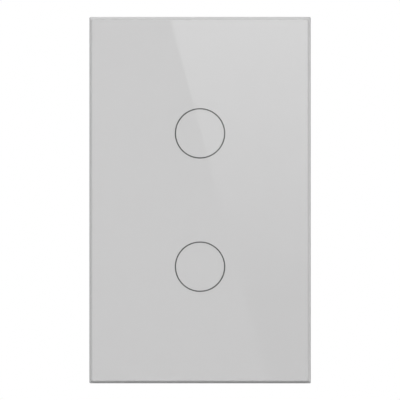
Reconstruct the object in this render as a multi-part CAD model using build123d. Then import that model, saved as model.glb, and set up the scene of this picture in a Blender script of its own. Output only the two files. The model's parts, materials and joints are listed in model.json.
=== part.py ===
from build123d import *
import os
from math import cos, hypot, pi, radians, sin

# A two-zone touch light switch for a single wall box. A glass panel snaps over an electronic base.
# Millimetres. X runs to the right, the front faces -Y, Z runs up.
# The origin is the middle of the wall plane: the back of the steel strap and of the panel's rim.
# Depths are places along Y, so they are negative in front of the wall.

# Panel
panel_w = 72.5
panel_h = 120.0
panel_proud = 8.5
panel_corner_r = 0.4
glass_edge = 0.4
glass_t = 3.0
glass_chamfer = 0.6
glass_front_corner_r = 0.1
glass_seam = 0.3
print_t = 0.2
ring_print_t = 0.1
ring_mean_d = 16.1
ring_line = 0.4
zone_pitch = 43.6
ink_gap = 0.02
tape_t = 0.3
tape_inset = 1.5
tape_lap = 6.0
frame_floor_t = 1.4
frame_wall = 1.6
frame_edge_r = 0.3
mould_corner_r = 0.5
frame_rib_t = 1.0
frame_rib_x = (-15.0, 15.0)
frame_rib_z = (-30.0, 0.0, 30.0)
collar_t = 1.2
notch_w = 12.0
notch_deep = 1.8

# Snap arms between the panel frame and the front cover
arm_w = 6.0
arm_slit = 1.2
arm_side_z = (-20.0, 20.0)
bead_h = 0.4
bead_w = 0.9
bead_groove = 0.4

# Front cover and what it holds
cover_w = 46.0
cover_h = 66.0
cover_skin = 1.0
cover_wall = 1.5
cover_corner_r = 2.0
cover_edge_r = 0.6
cover_gap = 0.3
cover_fit = 0.5
guide_ring_d = 17.4
guide_web_d = 14.6
guide_web_sink = 0.4
guide_flange = 1.0
guide_flange_t = 0.5
guide_fit = 0.1
spring_r = 3.6
spring_wire = 0.4
spring_turns = 2.5
spring_hole_r = 4.6
spring_gap = 0.05
touch_board_t = 1.0
board_fit = 0.3
sheet_t = 0.4
led_l = 1.6
led_w = 0.8
led_h = 0.6
led_circle_r = 8.0
leds_per_zone = 4
touch_chip_w = 5.0
touch_chip_h = 0.9
post_r = 1.0
post_places = ((-19.0, 0.0), (19.0, 0.0), (-10.0, 0.0), (10.0, 0.0))

# Steel mounting strap and its screws
strap_t = 1.2
strap_h = 106.0
strap_mid_w = 56.0
strap_mid_h = 84.0
strap_ear_w = 28.0
strap_mid_r = 3.0
strap_ear_r = 6.0
strap_window_w = 38.0
strap_window_h = 54.0
strap_window_r = 2.0
wall_screw_pitch = 83.3
slot_l = 8.0
slot_w = 3.8
ear_hole_r = 2.0
ear_hole_x = 9.0
ear_hole_z = 48.5
wall_screw_r = 1.75
wall_screw_neck_r = 1.5
wall_screw_l = 20.0
wall_head_r = 3.3
wall_head_h = 1.9
drive_w = 0.9
drive_deep = 0.8
earth_x = 20.0
earth_z = -38.0
earth_shank_r = 1.6
earth_flat = 6.6
earth_head_h = 2.4
earth_l = 3.8

# Rear housing and its screws
housing_w = 46.0
housing_h = 67.0
housing_depth = 29.0
housing_wall = 1.8
housing_corner_r = 2.5
housing_edge = 1.0
screw_x = 19.2
screw_z = 30.0
boss_w = 7.4
cover_boss_r = 2.6
housing_screw_r = 1.2
housing_head_r = 2.2
housing_head_h = 2.0
housing_seat_y = 6.0
housing_screw_tip = 3.6
screw_clear = 0.15
tap_clear = 0.02
rail_t = 1.5
rail_w = 3.0
rail_z = (-12.0, 12.0)
nib_t = 0.6
nib_depth = 1.1
nib_gap = 0.1
nib_z = (-2.0, 20.0)
vent_l = 26.0
vent_w = 1.4
vent_count = 5
vent_pitch = 3.0
vent_top_z = 29.0
label_w = 30.0
label_h = 20.0
label_z = 2.0
label_t = 0.15
label_corner_r = 1.0
label_sink = 0.3
label_fit = 0.4

# Boards inside the housing
power_board_t = 1.6
power_board_y = 2.5
power_board_fit = 0.4
lead_r = 0.35
lead_fit = 0.1
lead_out = 0.8
header_x = -12.0
header_z = -4.0
header_pins = 8
pin_pitch = 2.54
pin_r = 0.32
pin_fit = 0.03
strip_w = 2.6
strip_h = 1.6
strip_gap = 0.2
radio_x = 8.0
radio_z = 4.0
radio_w = 16.0
radio_h = 22.0
radio_t = 0.8
shield_w = 14.4
shield_h = 15.0
shield_t = 1.8
shield_wall = 0.3
shield_corner_r = 0.5
window_fit = 0.6

# Relays
relay_x = (-14.3, -3.6)
relay_z = -7.0
relay_w = 10.2
relay_l = 18.4
relay_h = 15.3
relay_wall = 0.7
relay_corner_r = 0.6
relay_edge = 0.4
relay_headroom = 1.8
relay_fit = 0.1
relay_base_t = 1.2
yoke_t = 1.0
yoke_w = 6.4
coil_dz = 1.0
core_r = 1.3
pole_r = 2.6
pole_t = 0.4
coil_r = 3.7
bobbin_wall = 0.5
bobbin_flange = 0.7
bobbin_lip = 0.3
armature_t = 0.8
armature_gap = 0.5
armature_w = 7.0
yoke_inset = 0.6
pivot_gap = 0.2
contact_inset = 2.4
contact_r = 0.9
contact_t = 0.6
contact_gap = 0.8
contact_strip_t = 0.6
contact_strip_w = 4.0

# Other parts on the power board
transformer_x = 11.5
transformer_z = -8.0
transformer_core_w = 14.8
transformer_core_t = 6.0
transformer_bar = 1.9
transformer_leg = 1.8
transformer_mid_r = 2.3
transformer_h = 12.2
transformer_foot = 0.8
transformer_flange_l = 12.0
transformer_flange_w = 10.6
transformer_flange_t = 0.8
transformer_coil_r = 5.0
wind_gap = 0.15
capacitor_r = 4.0
capacitor_h = 12.0
capacitor_neck = 0.4
capacitor_edge = 0.5
capacitor_places = ((-15.0, 10.5), (14.5, 8.0))
film_x = -1.0
film_z = 24.0
film_size = (13.0, 6.0, 11.0)
box_edge = 0.4
fuse_x = -5.0
fuse_z = 9.0
fuse_size = (8.4, 4.0, 8.0)
varistor_x = -12.5
varistor_z = 23.0
varistor_r = 4.5
varistor_t = 3.5
choke_x = 5.0
choke_z = 9.5
choke_r = 4.0
choke_waist_r = 2.8
choke_h = 9.0
choke_flange = 1.5
rectifier_x = -10.0
power_chip_x = 0.0
low_chip_z = -25.0
rectifier_size = (6.5, 4.8, 2.5)
chip_edge = 0.2
power_chip_size = (5.0, 4.0, 1.5)

# Terminals
terminal_count = 4
terminal_pitch = 7.62
terminal_gap = 0.04
terminal_fit = 0.15
terminal_y = 14.1
terminal_back = 28.5
terminal_edge = 0.3
terminal_low = -33.2
terminal_top = -20.0
recess_wall = 1.5
cage_w = 4.9
cage_side = 0.7
cage_front = 1.1
cage_back = 1.6
cage_l = 6.4
cage_travel = 2.6
wire_space = 3.4
wire_r = 1.65
wire_mouth = 0.5
busbar_t = 1.0
busbar_w = 3.2
busbar_gap = 0.2
chamber_gap = 0.15
terminal_screw_r = 1.5
terminal_screw_fit = 0.05
terminal_head_r = 2.4
terminal_head_h = 1.95
terminal_seat_t = 0.9
terminal_screw_z = -26.0
slot_clear = 0.1

# Places worked out from the sizes above
glass_corner_r = glass_chamfer + glass_front_corner_r
glass_w = panel_w - 2 * glass_edge
glass_h = panel_h - 2 * glass_edge
glass_front = -panel_proud
glass_back = glass_front + glass_t
print_back = glass_back + print_t
tape_back = print_back + tape_t
floor_back = tape_back + frame_floor_t
strap_front = -strap_t
cover_front = print_back + cover_gap
skin_back = cover_front + cover_skin
sheet_front = strap_front - sheet_t
touch_front = sheet_front - touch_board_t
window_w = cover_w + 2 * cover_fit
window_h = cover_h + 2 * cover_fit
collar_back = strap_front - cover_gap
bead_y = (floor_back + collar_back) / 2
zone_z = (-zone_pitch / 2, zone_pitch / 2)
corner_places = [(x, z) for x in (-screw_x, screw_x) for z in (-screw_z, screw_z)]
power_back = power_board_y + power_board_t
lead_tip = power_board_y - lead_out
inside_w = housing_w - 2 * housing_wall
inside_h = housing_h - 2 * housing_wall
inside_back = housing_depth - housing_wall
terminal_x = [terminal_pitch * (i - (terminal_count - 1) / 2) for i in range(terminal_count)]
recess_half_w = terminal_pitch * terminal_count / 2 + terminal_fit
recess_top = terminal_top + terminal_fit
recess_y = terminal_y - slot_clear
seat_back = terminal_back - terminal_head_h - 2 * slot_clear - busbar_gap
seat_front = seat_back - terminal_seat_t
cage_back_rest = seat_front - cage_travel - busbar_gap
cage_window_back = cage_back_rest - cage_back
busbar_back = cage_window_back - busbar_gap
busbar_front = busbar_back - busbar_t
cage_window_front = busbar_front - wire_space
cage_front_rest = cage_window_front - cage_front
wire_y = busbar_front - wire_space / 2
cage_low = terminal_screw_z - cage_l / 2
cage_high = terminal_screw_z + cage_l / 2
chamber_low = cage_low - chamber_gap
chamber_high = cage_high + chamber_gap
busbar_top = chamber_high + busbar_t + chamber_gap + busbar_gap
relay_room = relay_l / 2 - relay_wall - relay_fit
pivot_dz = relay_room - yoke_t / 2 - yoke_inset
contact_dz = contact_inset - relay_room


# Shapes seen from the front, by their place in X and Z
def rect(w, h, x=0.0, z=0.0, r=0.0):
    shape = RectangleRounded(w, h, r) if r else Rectangle(w, h)
    return Pos(x, z) * shape


def disc(r, x=0.0, z=0.0):
    return Pos(x, z) * Circle(r)


def plate(sketch, y_front, y_back):
    """The solid of a front-view shape between two depths."""
    return extrude(Plane.XZ.offset(-y_back) * sketch, y_back - y_front)


def block(x, y, z):
    """A box from three pairs of lowest and highest values."""
    centre = Pos((x[0] + x[1]) / 2, (y[0] + y[1]) / 2, (z[0] + z[1]) / 2)
    return centre * Box(x[1] - x[0], y[1] - y[0], z[1] - z[0])


def upright(r, x, y, z):
    """A cylinder along Z at x and y, between two heights."""
    return Pos(x, y, (z[0] + z[1]) / 2) * Cylinder(r, z[1] - z[0])


def rim_edges(shape, front):
    """The edges of the shape's frontmost or rearmost face."""
    faces = shape.faces().sort_by(Axis.Y)
    return (faces[0] if front else faces[-1]).outer_wire().edges()


def save(name, *solids):
    shape = solids[0] if len(solids) == 1 else Compound(children=list(solids))
    export_step(shape, f"parts/{name}.step")


# Panel

def glass_panel():
    glass = plate(rect(glass_w, glass_h, r=glass_corner_r), glass_front, glass_back)
    glass = chamfer(rim_edges(glass, True), glass_chamfer)
    return chamfer(rim_edges(glass, False), glass_seam)


def ring_shape(extra=0.0):
    """Both ring lines, wider by extra on each side."""
    outer = ring_mean_d / 2 + ring_line / 2 + extra
    inner = ring_mean_d / 2 - ring_line / 2 - extra
    return [disc(outer, 0, z) - disc(inner, 0, z) for z in zone_z]


def back_print():
    ink = plate(rect(glass_w - 2 * glass_seam, glass_h - 2 * glass_seam, r=glass_corner_r), glass_back, print_back)
    for ring in ring_shape(ink_gap):
        ink -= plate(ring, glass_back, glass_back + ring_print_t)
    return ink


def ring_print():
    return [plate(ring, glass_back, glass_back + ring_print_t) for ring in ring_shape()]


def panel_tape():
    outer = rect(glass_w - 2 * tape_inset, glass_h - 2 * tape_inset, r=glass_corner_r)
    inner = rect(glass_w - 2 * (tape_inset + tape_lap), glass_h - 2 * (tape_inset + tape_lap))
    return plate(outer - inner, print_back, tape_back)


def arm_places():
    """Each snap arm's place on the collar: its centre and the way that it faces, outwards."""
    sides = [(s * window_w / 2, z, s, 0) for s in (-1, 1) for z in arm_side_z]
    ends = [(0.0, s * window_h / 2, 0, s) for s in (-1, 1)]
    return sides + ends


def arm_box(place, along, inward, outward, y):
    """A box on the collar at an arm: its width along the wall, and its reach in and out."""
    x, z, out_x, out_z = place
    if out_x:
        near, far = x - out_x * inward, x + out_x * outward
        return block((min(near, far), max(near, far)), y, (z - along / 2, z + along / 2))
    near, far = z - out_z * inward, z + out_z * outward
    return block((x - along / 2, x + along / 2), y, (min(near, far), max(near, far)))


def panel_frame():
    inner_w = panel_w - 2 * frame_wall
    inner_h = panel_h - 2 * frame_wall
    frame = plate(rect(panel_w, panel_h, r=panel_corner_r), tape_back, 0)
    frame = fillet(rim_edges(frame, True), frame_edge_r)
    frame -= plate(rect(inner_w, inner_h, r=mould_corner_r), floor_back, 0)
    frame -= plate(rect(window_w, window_h), tape_back, floor_back)
    collar_w = window_w + 2 * collar_t
    collar_h = window_h + 2 * collar_t
    frame += plate(rect(collar_w, collar_h) - rect(window_w, window_h), floor_back, collar_back)
    for z in frame_rib_z:
        for side in (-1, 1):
            x = sorted((side * collar_w / 2, side * inner_w / 2))
            frame += block(x, (floor_back, collar_back), (z - frame_rib_t / 2, z + frame_rib_t / 2))
    for x in frame_rib_x:
        for side in (-1, 1):
            z = sorted((side * collar_h / 2, side * inner_h / 2))
            frame += block((x - frame_rib_t / 2, x + frame_rib_t / 2), (floor_back, collar_back), z)
    for place in arm_places():
        slits = arm_box(place, arm_w + 2 * arm_slit, 0, collar_t, (floor_back, collar_back))
        frame -= slits - arm_box(place, arm_w, 0, collar_t, (floor_back, collar_back))
        frame += arm_box(place, arm_w, bead_h, 0, (bead_y - bead_w / 2, bead_y + bead_w / 2))
    notch = block((-notch_w / 2, notch_w / 2), (-notch_deep, 0), (-panel_h / 2, -inner_h / 2))
    return frame - notch


# Front cover and the touch board behind it

def front_cover():
    cover = plate(rect(cover_w, cover_h, r=cover_corner_r), cover_front, strap_front)
    cover = fillet(rim_edges(cover, True), cover_edge_r)
    cover -= plate(rect(cover_w - 2 * cover_wall, cover_h - 2 * cover_wall, r=mould_corner_r), skin_back, strap_front)
    for x, z in corner_places:
        cover += plate(disc(cover_boss_r, x, z), skin_back, strap_front)
    for x, z in post_places:
        cover += plate(disc(post_r, x, z), skin_back, touch_front)
    for x, z in corner_places:
        cover -= plate(disc(housing_screw_r + tap_clear, x, z), -housing_screw_tip, strap_front)
    for z in zone_z:
        cover -= plate(disc(guide_ring_d / 2 + guide_fit, 0, z), cover_front, skin_back)
    for place in arm_places():
        groove_y = (bead_y - bead_w, bead_y + bead_w)
        cover -= arm_box(place, arm_w + arm_slit, cover_fit + bead_groove, 0, groove_y)
    return cover


def light_guide(z):
    guide = plate(disc(guide_ring_d / 2, 0, z), cover_front, skin_back)
    guide += plate(disc(guide_ring_d / 2 + guide_flange, 0, z), skin_back, skin_back + guide_flange_t)
    guide -= plate(disc(guide_web_d / 2, 0, z), cover_front, cover_front + guide_web_sink)
    return guide - plate(disc(spring_hole_r, 0, z), cover_front, skin_back + guide_flange_t)


def touch_spring(zone):
    """A coil along Y from the touch board to just short of the print, in half turns.
    Each half turn is a true arc, tilted so that it meets the next one in line."""
    rise = touch_front - print_back - spring_gap - spring_wire
    half_turns = int(2 * spring_turns)
    step = rise / half_turns
    bulge = hypot(spring_r, step / 2)
    y = touch_front - spring_wire / 2
    arcs = []
    for i in range(half_turns):
        side = 1 if i % 2 == 0 else -1
        start = (side * spring_r, y - i * step, zone)
        middle = (0, y - (i + 0.5) * step, zone + side * bulge)
        end = (-side * spring_r, y - (i + 1) * step, zone)
        arcs.append(ThreePointArc(start, middle, end))
    path = Wire(arcs)
    section = Plane(origin=path @ 0, z_dir=path % 0) * Circle(spring_wire / 2)
    spring = sweep(section, path)
    wanted = pi * (spring_wire / 2) ** 2 * path.length
    print(f"touch spring: volume over section times length {spring.volume / wanted:.4f}")
    print(f"touch spring: least gap between turns {2 * step - spring_wire:.2f} mm")
    return spring


def touch_outline(fit):
    """The outline of the touch board, clear of the cover's walls and of its corner bosses."""
    w = cover_w - 2 * cover_wall - 2 * fit
    h = cover_h - 2 * cover_wall - 2 * fit
    outline = rect(w, h)
    for x, z in corner_places:
        notch_x = abs(x) - cover_boss_r - fit
        notch_z = abs(z) - cover_boss_r - fit
        corner_w = w / 2 - notch_x
        corner_h = h / 2 - notch_z
        outline -= rect(corner_w, corner_h, (1 if x > 0 else -1) * (notch_x + corner_w / 2),
                        (1 if z > 0 else -1) * (notch_z + corner_h / 2))
    return outline


def touch_board():
    return plate(touch_outline(board_fit), touch_front, sheet_front)


def insulation_sheet():
    sheet = touch_outline(board_fit)
    sheet -= rect(radio_w + 2 * window_fit, radio_h + 2 * window_fit, radio_x, radio_z)
    sheet -= rect(strip_w + 2 * window_fit, header_pins * pin_pitch + 2 * window_fit, header_x, header_z)
    return plate(sheet, sheet_front, strap_front)


def indicator_leds():
    leds = []
    for z in zone_z:
        for i in range(leds_per_zone):
            turn = radians(45 + 360 * i / leds_per_zone)
            x = led_circle_r * cos(turn)
            leds.append(plate(rect(led_l, led_w, x, z + led_circle_r * sin(turn)), touch_front - led_h, touch_front))
    return leds


def touch_chip():
    return plate(rect(touch_chip_w, touch_chip_w), touch_front - touch_chip_h, touch_front)


def pin_places():
    return [(header_x, header_z + pin_pitch * (i - (header_pins - 1) / 2)) for i in range(header_pins)]


def pin_strip(y_front, y_back):
    strip = plate(rect(strip_w, header_pins * pin_pitch, header_x, header_z), y_front, y_back)
    for x, z in pin_places():
        strip -= plate(disc(pin_r + pin_fit, x, z), y_front, y_back)
    return strip


def header_strip():
    return pin_strip(sheet_front, sheet_front + strip_h)


def socket_strip():
    return pin_strip(sheet_front + strip_h + strip_gap, power_board_y)


def header_pin_set():
    pin_tip = power_board_y - strip_gap
    return [plate(disc(pin_r, x, z), sheet_front, pin_tip) for x, z in pin_places()]


def radio_board():
    return plate(rect(radio_w, radio_h, radio_x, radio_z), sheet_front, sheet_front + radio_t)


def radio_shield():
    y = sheet_front + radio_t
    z = radio_z - (radio_h - shield_h) / 2 + shield_wall
    can = plate(rect(shield_w, shield_h, radio_x, z, r=shield_corner_r), y, y + shield_t)
    hollow = rect(shield_w - 2 * shield_wall, shield_h - 2 * shield_wall, radio_x, z)
    return can - plate(hollow, y, y + shield_t - shield_wall)


# Steel strap and screws

def mounting_strap():
    outline = rect(strap_mid_w, strap_mid_h, r=strap_mid_r) + rect(strap_ear_w, strap_h, r=strap_ear_r)
    outline -= rect(strap_window_w, strap_window_h, r=strap_window_r)
    for side in (-1, 1):
        outline -= Pos(0, side * wall_screw_pitch / 2) * SlotOverall(slot_l, slot_w)
        for x in (-ear_hole_x, ear_hole_x):
            outline -= disc(ear_hole_r, x, side * ear_hole_z)
    for x, z in corner_places:
        outline -= disc(housing_screw_r + screw_clear, x, z)
    outline -= disc(earth_shank_r + tap_clear, earth_x, earth_z)
    return plate(outline, strap_front, 0)


def wall_screw(z):
    head = plate(disc(wall_head_r, 0, z), strap_front - wall_head_h, strap_front)
    head = fillet(rim_edges(head, True), wall_head_h * 0.55)
    slot_y = (strap_front - wall_head_h, strap_front - wall_head_h + drive_deep)
    head -= block((-wall_head_r, wall_head_r), slot_y, (z - drive_w / 2, z + drive_w / 2))
    neck = plate(disc(wall_screw_neck_r, 0, z), strap_front, 0)
    thread = plate(disc(wall_screw_r, 0, z), 0, wall_screw_l)
    thread = chamfer(rim_edges(thread, False), wall_screw_r * 0.3)
    return head + neck + thread


def earth_screw():
    hexagon = Pos(earth_x, earth_z) * RegularPolygon(earth_flat / 2, 6, major_radius=False)
    head = plate(hexagon, 0, earth_head_h)
    slot_x = (earth_x - earth_flat, earth_x + earth_flat)
    slot_y = (earth_head_h - drive_deep, earth_head_h)
    head -= block(slot_x, slot_y, (earth_z - drive_w / 2, earth_z + drive_w / 2))
    return head + plate(disc(earth_shank_r, earth_x, earth_z), -earth_l / 2 - strap_t / 2, 0)


# Rear housing

def rear_housing():
    housing = plate(rect(housing_w, housing_h, r=housing_corner_r), 0, housing_depth)
    housing = chamfer(rim_edges(housing, False), housing_edge)
    hollow = plate(rect(inside_w, inside_h, r=housing_corner_r - 1), 0, inside_back)
    hollow -= block((-inside_w, inside_w), (recess_y - recess_wall, housing_depth),
                    (-housing_h, recess_top + recess_wall))
    for x, z in corner_places:
        hollow -= plate(rect(boss_w, boss_w, x, z), 0, inside_back)
    for z in rail_z:
        for side in (-1, 1):
            x = sorted((side * (inside_w / 2 - rail_t), side * inside_w / 2))
            hollow -= block(x, (power_back, inside_back), (z - rail_w / 2, z + rail_w / 2))
    for z in nib_z:
        for side in (-1, 1):
            x = sorted((side * (inside_w / 2 - nib_t), side * inside_w / 2))
            hollow -= block(x, (power_board_y - nib_gap - nib_depth, power_board_y - nib_gap), (z - rail_w / 2, z + rail_w / 2))
    housing -= hollow
    housing -= block((-recess_half_w, recess_half_w), (recess_y, housing_depth), (-housing_h / 2, recess_top))
    for x, z in corner_places:
        housing -= plate(disc(housing_screw_r + screw_clear, x, z), 0, housing_seat_y)
        housing -= plate(disc(housing_head_r + screw_clear, x, z), housing_seat_y, housing_depth)
    for x in terminal_x:
        leg_z = (busbar_top - busbar_t - slot_clear, busbar_top + slot_clear)
        housing -= block((x - busbar_w / 2 - slot_clear, x + busbar_w / 2 + slot_clear),
                         (recess_y - recess_wall, recess_y), leg_z)
    for i in range(vent_count):
        housing -= plate(Pos(0, vent_top_z - i * vent_pitch) * SlotOverall(vent_l, vent_w),
                         inside_back, housing_depth)
    label_bed = rect(label_w + 2 * label_fit, label_h + 2 * label_fit, 0, label_z, r=label_corner_r)
    return housing - plate(label_bed, housing_depth - label_sink, housing_depth)


def rear_label():
    label_front = housing_depth - label_sink
    return plate(rect(label_w, label_h, 0, label_z, r=label_corner_r), label_front, label_front + label_t)


def housing_screw(x, z):
    head_back = housing_seat_y + housing_head_h
    head = plate(disc(housing_head_r, x, z), housing_seat_y, head_back)
    head = fillet(rim_edges(head, False), housing_head_h * 0.4)
    cross = rect(housing_head_r * 1.2, drive_w, x, z) + rect(drive_w, housing_head_r * 1.2, x, z)
    head -= plate(cross, head_back - drive_deep, head_back)
    return head + plate(disc(housing_screw_r, x, z), -housing_screw_tip, housing_seat_y)


# Power board

def relay_lead_places():
    return [(x, relay_z + dz) for x in relay_x for dz in (pivot_dz, contact_strip_dz())]


def contact_strip_dz():
    """The fixed contact's strip stands just inside the case's end wall."""
    return contact_strip_t / 2 - relay_room


def power_board():
    w = inside_w - 2 * power_board_fit
    h = inside_h - 2 * power_board_fit
    outline = rect(w, h)
    for x, z in corner_places:
        notch_x = abs(x) - boss_w / 2 - power_board_fit
        notch_z = abs(z) - boss_w / 2 - power_board_fit
        corner_w = w / 2 - notch_x
        corner_h = h / 2 - notch_z
        outline -= rect(corner_w, corner_h, (1 if x > 0 else -1) * (notch_x + corner_w / 2),
                        (1 if z > 0 else -1) * (notch_z + corner_h / 2))
    for x, z in relay_lead_places():
        outline -= disc(lead_r + lead_fit, x, z)
    for x in terminal_x:
        outline -= rect(busbar_w + 2 * slot_clear, busbar_t + 2 * slot_clear, x, busbar_top - busbar_t / 2)
    return plate(outline, power_board_y, power_back)


# A relay: its coil stands on the board, and its armature lies over the coil's pole

relay_top = power_back + relay_h
base_top = power_back + relay_base_t
yoke_low = base_top + relay_fit
armature_back = relay_top - relay_wall - relay_headroom
armature_front = armature_back - armature_t
pole_back = armature_front - armature_gap
yoke_top = armature_front - pivot_gap


def relay_case(x):
    case = plate(rect(relay_w, relay_l, x, relay_z, r=relay_corner_r), power_back, relay_top)
    case = chamfer(rim_edges(case, False), relay_edge)
    hollow = rect(relay_w - 2 * relay_wall, relay_l - 2 * relay_wall, x, relay_z)
    return case - plate(hollow, power_back, relay_top - relay_wall)


def relay_base(x):
    gap = relay_wall + relay_fit
    base = plate(rect(relay_w - 2 * gap, relay_l - 2 * gap, x, relay_z), power_back, base_top)
    for dz in (pivot_dz, contact_strip_dz()):
        base -= plate(disc(lead_r + lead_fit, x, relay_z + dz), power_back, base_top)
    z = relay_z + coil_dz
    low = yoke_low + yoke_t + relay_fit
    high = pole_back - pole_t - relay_fit
    bobbin = plate(disc(core_r + relay_fit + bobbin_wall, x, z), low, high)
    bobbin += plate(disc(coil_r + bobbin_lip, x, z), low, low + bobbin_flange)
    bobbin += plate(disc(coil_r + bobbin_lip, x, z), high - bobbin_flange, high)
    bobbin -= plate(disc(core_r + relay_fit, x, z), low, high)
    return [base, bobbin]


def relay_coil(x):
    low = yoke_low + yoke_t + relay_fit + bobbin_flange + relay_fit
    high = pole_back - pole_t - relay_fit - bobbin_flange - relay_fit
    bore = core_r + relay_fit + bobbin_wall + relay_fit
    z = relay_z + coil_dz
    return plate(disc(coil_r, x, z) - disc(bore, x, z), low, high)


def relay_yoke(x):
    leg_z = relay_z + pivot_dz
    bar_z = (relay_z + coil_dz - pole_r, leg_z + yoke_t / 2)
    bar_x = (x - yoke_w / 2, x + yoke_w / 2)
    yoke = block(bar_x, (yoke_low, yoke_low + yoke_t), bar_z)
    yoke += block(bar_x, (yoke_low, yoke_top), (leg_z - yoke_t / 2, leg_z + yoke_t / 2))
    yoke += plate(disc(core_r, x, relay_z + coil_dz), yoke_low, pole_back - pole_t)
    yoke += plate(disc(pole_r, x, relay_z + coil_dz), pole_back - pole_t, pole_back)
    return yoke + plate(disc(lead_r, x, leg_z), lead_tip, yoke_low)


def relay_armature(x):
    free_end = relay_z + contact_dz - contact_r
    z = (free_end, relay_z + pivot_dz + yoke_t / 2)
    plate_x = (x - armature_w / 2, x + armature_w / 2)
    armature = block(plate_x, (armature_front, armature_back), z)
    return armature + plate(disc(contact_r, x, relay_z + contact_dz), armature_front - contact_t, armature_front)


def relay_contact(x):
    face = armature_front - contact_t - contact_gap
    tab_back = face - contact_t
    z = relay_z + contact_strip_dz()
    strip_x = (x - contact_strip_w / 2, x + contact_strip_w / 2)
    tab_y = (tab_back - contact_strip_t, tab_back)
    contact = block(strip_x, (base_top, tab_back), (z - contact_strip_t / 2, z + contact_strip_t / 2))
    contact += block(strip_x, tab_y, (z - contact_strip_t / 2, relay_z + contact_dz + contact_r))
    contact += plate(disc(contact_r, x, relay_z + contact_dz), tab_back, face)
    return contact + plate(disc(lead_r, x, z), lead_tip, base_top)


# Transformer, on two feet, with its core round and through the winding

transformer_low = power_back + transformer_foot
transformer_high = transformer_low + transformer_h
coil_low = transformer_low + transformer_bar + wind_gap
coil_high = transformer_high - transformer_bar - wind_gap


def transformer_core():
    half = transformer_core_w / 2
    z = (transformer_z - transformer_core_t / 2, transformer_z + transformer_core_t / 2)
    x0 = transformer_x
    core = block((x0 - half, x0 + half), (transformer_low, transformer_high), z)
    window = (coil_low - wind_gap, coil_high + wind_gap)
    core -= block((x0 - half + transformer_leg, x0 + half - transformer_leg), window, z)
    return core + plate(disc(transformer_mid_r, x0, transformer_z), *window)


def transformer_bobbin():
    x, z = transformer_x, transformer_z
    tube_r = transformer_mid_r + wind_gap + bobbin_wall
    flange = rect(transformer_flange_w, transformer_flange_l, x, z)
    bobbin = plate(flange, coil_low, coil_low + transformer_flange_t)
    bobbin += plate(flange, coil_high - transformer_flange_t, coil_high)
    bobbin += plate(disc(tube_r, x, z), coil_low, coil_high)
    foot_l = (transformer_flange_l - transformer_core_t) / 2 - wind_gap
    for side in (-1, 1):
        foot_z = z + side * (transformer_flange_l - foot_l) / 2
        bobbin += plate(rect(transformer_flange_w, foot_l, x, foot_z), power_back, coil_low)
    return bobbin - plate(disc(transformer_mid_r + wind_gap, x, z), coil_low, coil_high)


def transformer_winding():
    x, z = transformer_x, transformer_z
    bore = transformer_mid_r + wind_gap + bobbin_wall + wind_gap
    low = coil_low + transformer_flange_t + wind_gap
    high = coil_high - transformer_flange_t - wind_gap
    return plate(disc(transformer_coil_r, x, z) - disc(bore, x, z), low, high)


def capacitor(x, z):
    top = power_back + capacitor_h
    can = plate(disc(capacitor_r, x, z), power_back, top)
    can = fillet(rim_edges(can, False), capacitor_edge)
    groove = disc(capacitor_r, x, z) - disc(capacitor_r - capacitor_neck, x, z)
    groove_y = power_back + 2 * capacitor_edge
    return can - plate(groove, groove_y, groove_y + capacitor_edge)


def moulded_box(size, x, z, edge):
    """A box-shaped component on the board: its width, its height along Z and how far it stands out."""
    body = plate(rect(size[0], size[1], x, z), power_back, power_back + size[2])
    return chamfer(rim_edges(body, False), edge)


def varistor():
    centre_y = power_back + varistor_r
    body = upright(varistor_r, varistor_x, centre_y, (varistor_z - varistor_t / 2, varistor_z + varistor_t / 2))
    return fillet(body.edges().filter_by(GeomType.CIRCLE), varistor_t * 0.3)


def choke():
    top = power_back + choke_h
    drum = plate(disc(choke_r, choke_x, choke_z), power_back, power_back + choke_flange)
    drum += plate(disc(choke_waist_r, choke_x, choke_z), power_back, top)
    return drum + plate(disc(choke_r, choke_x, choke_z), top - choke_flange, top)


# Terminals: a screw that stays in place draws a cage, which clamps the wire against a fixed busbar

def terminal_module(x):
    half = terminal_pitch / 2 - terminal_gap / 2
    body = block((x - half, x + half), (terminal_y, terminal_back), (terminal_low, terminal_top))
    body = chamfer(rim_edges(body, False), terminal_edge)
    chamber_half = cage_w / 2 + chamber_gap
    body -= block((x - chamber_half, x + chamber_half), (cage_front_rest - chamber_gap, seat_front),
                  (chamber_low, chamber_high))
    body -= plate(disc(terminal_screw_r + screw_clear, x, terminal_screw_z), seat_front, seat_back)
    body -= plate(disc(terminal_head_r + screw_clear, x, terminal_screw_z), seat_back, terminal_back)
    body -= upright(wire_r, x, wire_y, (terminal_low, chamber_low))
    mouth = Pos(x, wire_y, terminal_low + wire_mouth / 2) * Cone(wire_r + wire_mouth, wire_r, wire_mouth)
    body -= mouth
    bar_half = busbar_w / 2 + slot_clear
    body -= block((x - bar_half, x + bar_half), (busbar_front - slot_clear, busbar_back + slot_clear),
                  (chamber_high, busbar_top + slot_clear))
    body -= block((x - bar_half, x + bar_half), (terminal_y, busbar_back + slot_clear),
                  (busbar_top - busbar_t - slot_clear, busbar_top + slot_clear))
    return body


def terminal_screw(x):
    head_back = seat_back + terminal_head_h + slot_clear
    head = plate(disc(terminal_head_r, x, terminal_screw_z), head_back - terminal_head_h, head_back)
    head = chamfer(rim_edges(head, False), terminal_edge)
    slot_half = terminal_head_r
    slot_z = (terminal_screw_z - drive_w / 2, terminal_screw_z + drive_w / 2)
    head -= block((x - slot_half, x + slot_half), (head_back - drive_deep, head_back), slot_z)
    tip = busbar_back + 2 * busbar_gap
    return head + plate(disc(terminal_screw_r, x, terminal_screw_z), tip, head_back - terminal_head_h)


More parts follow.
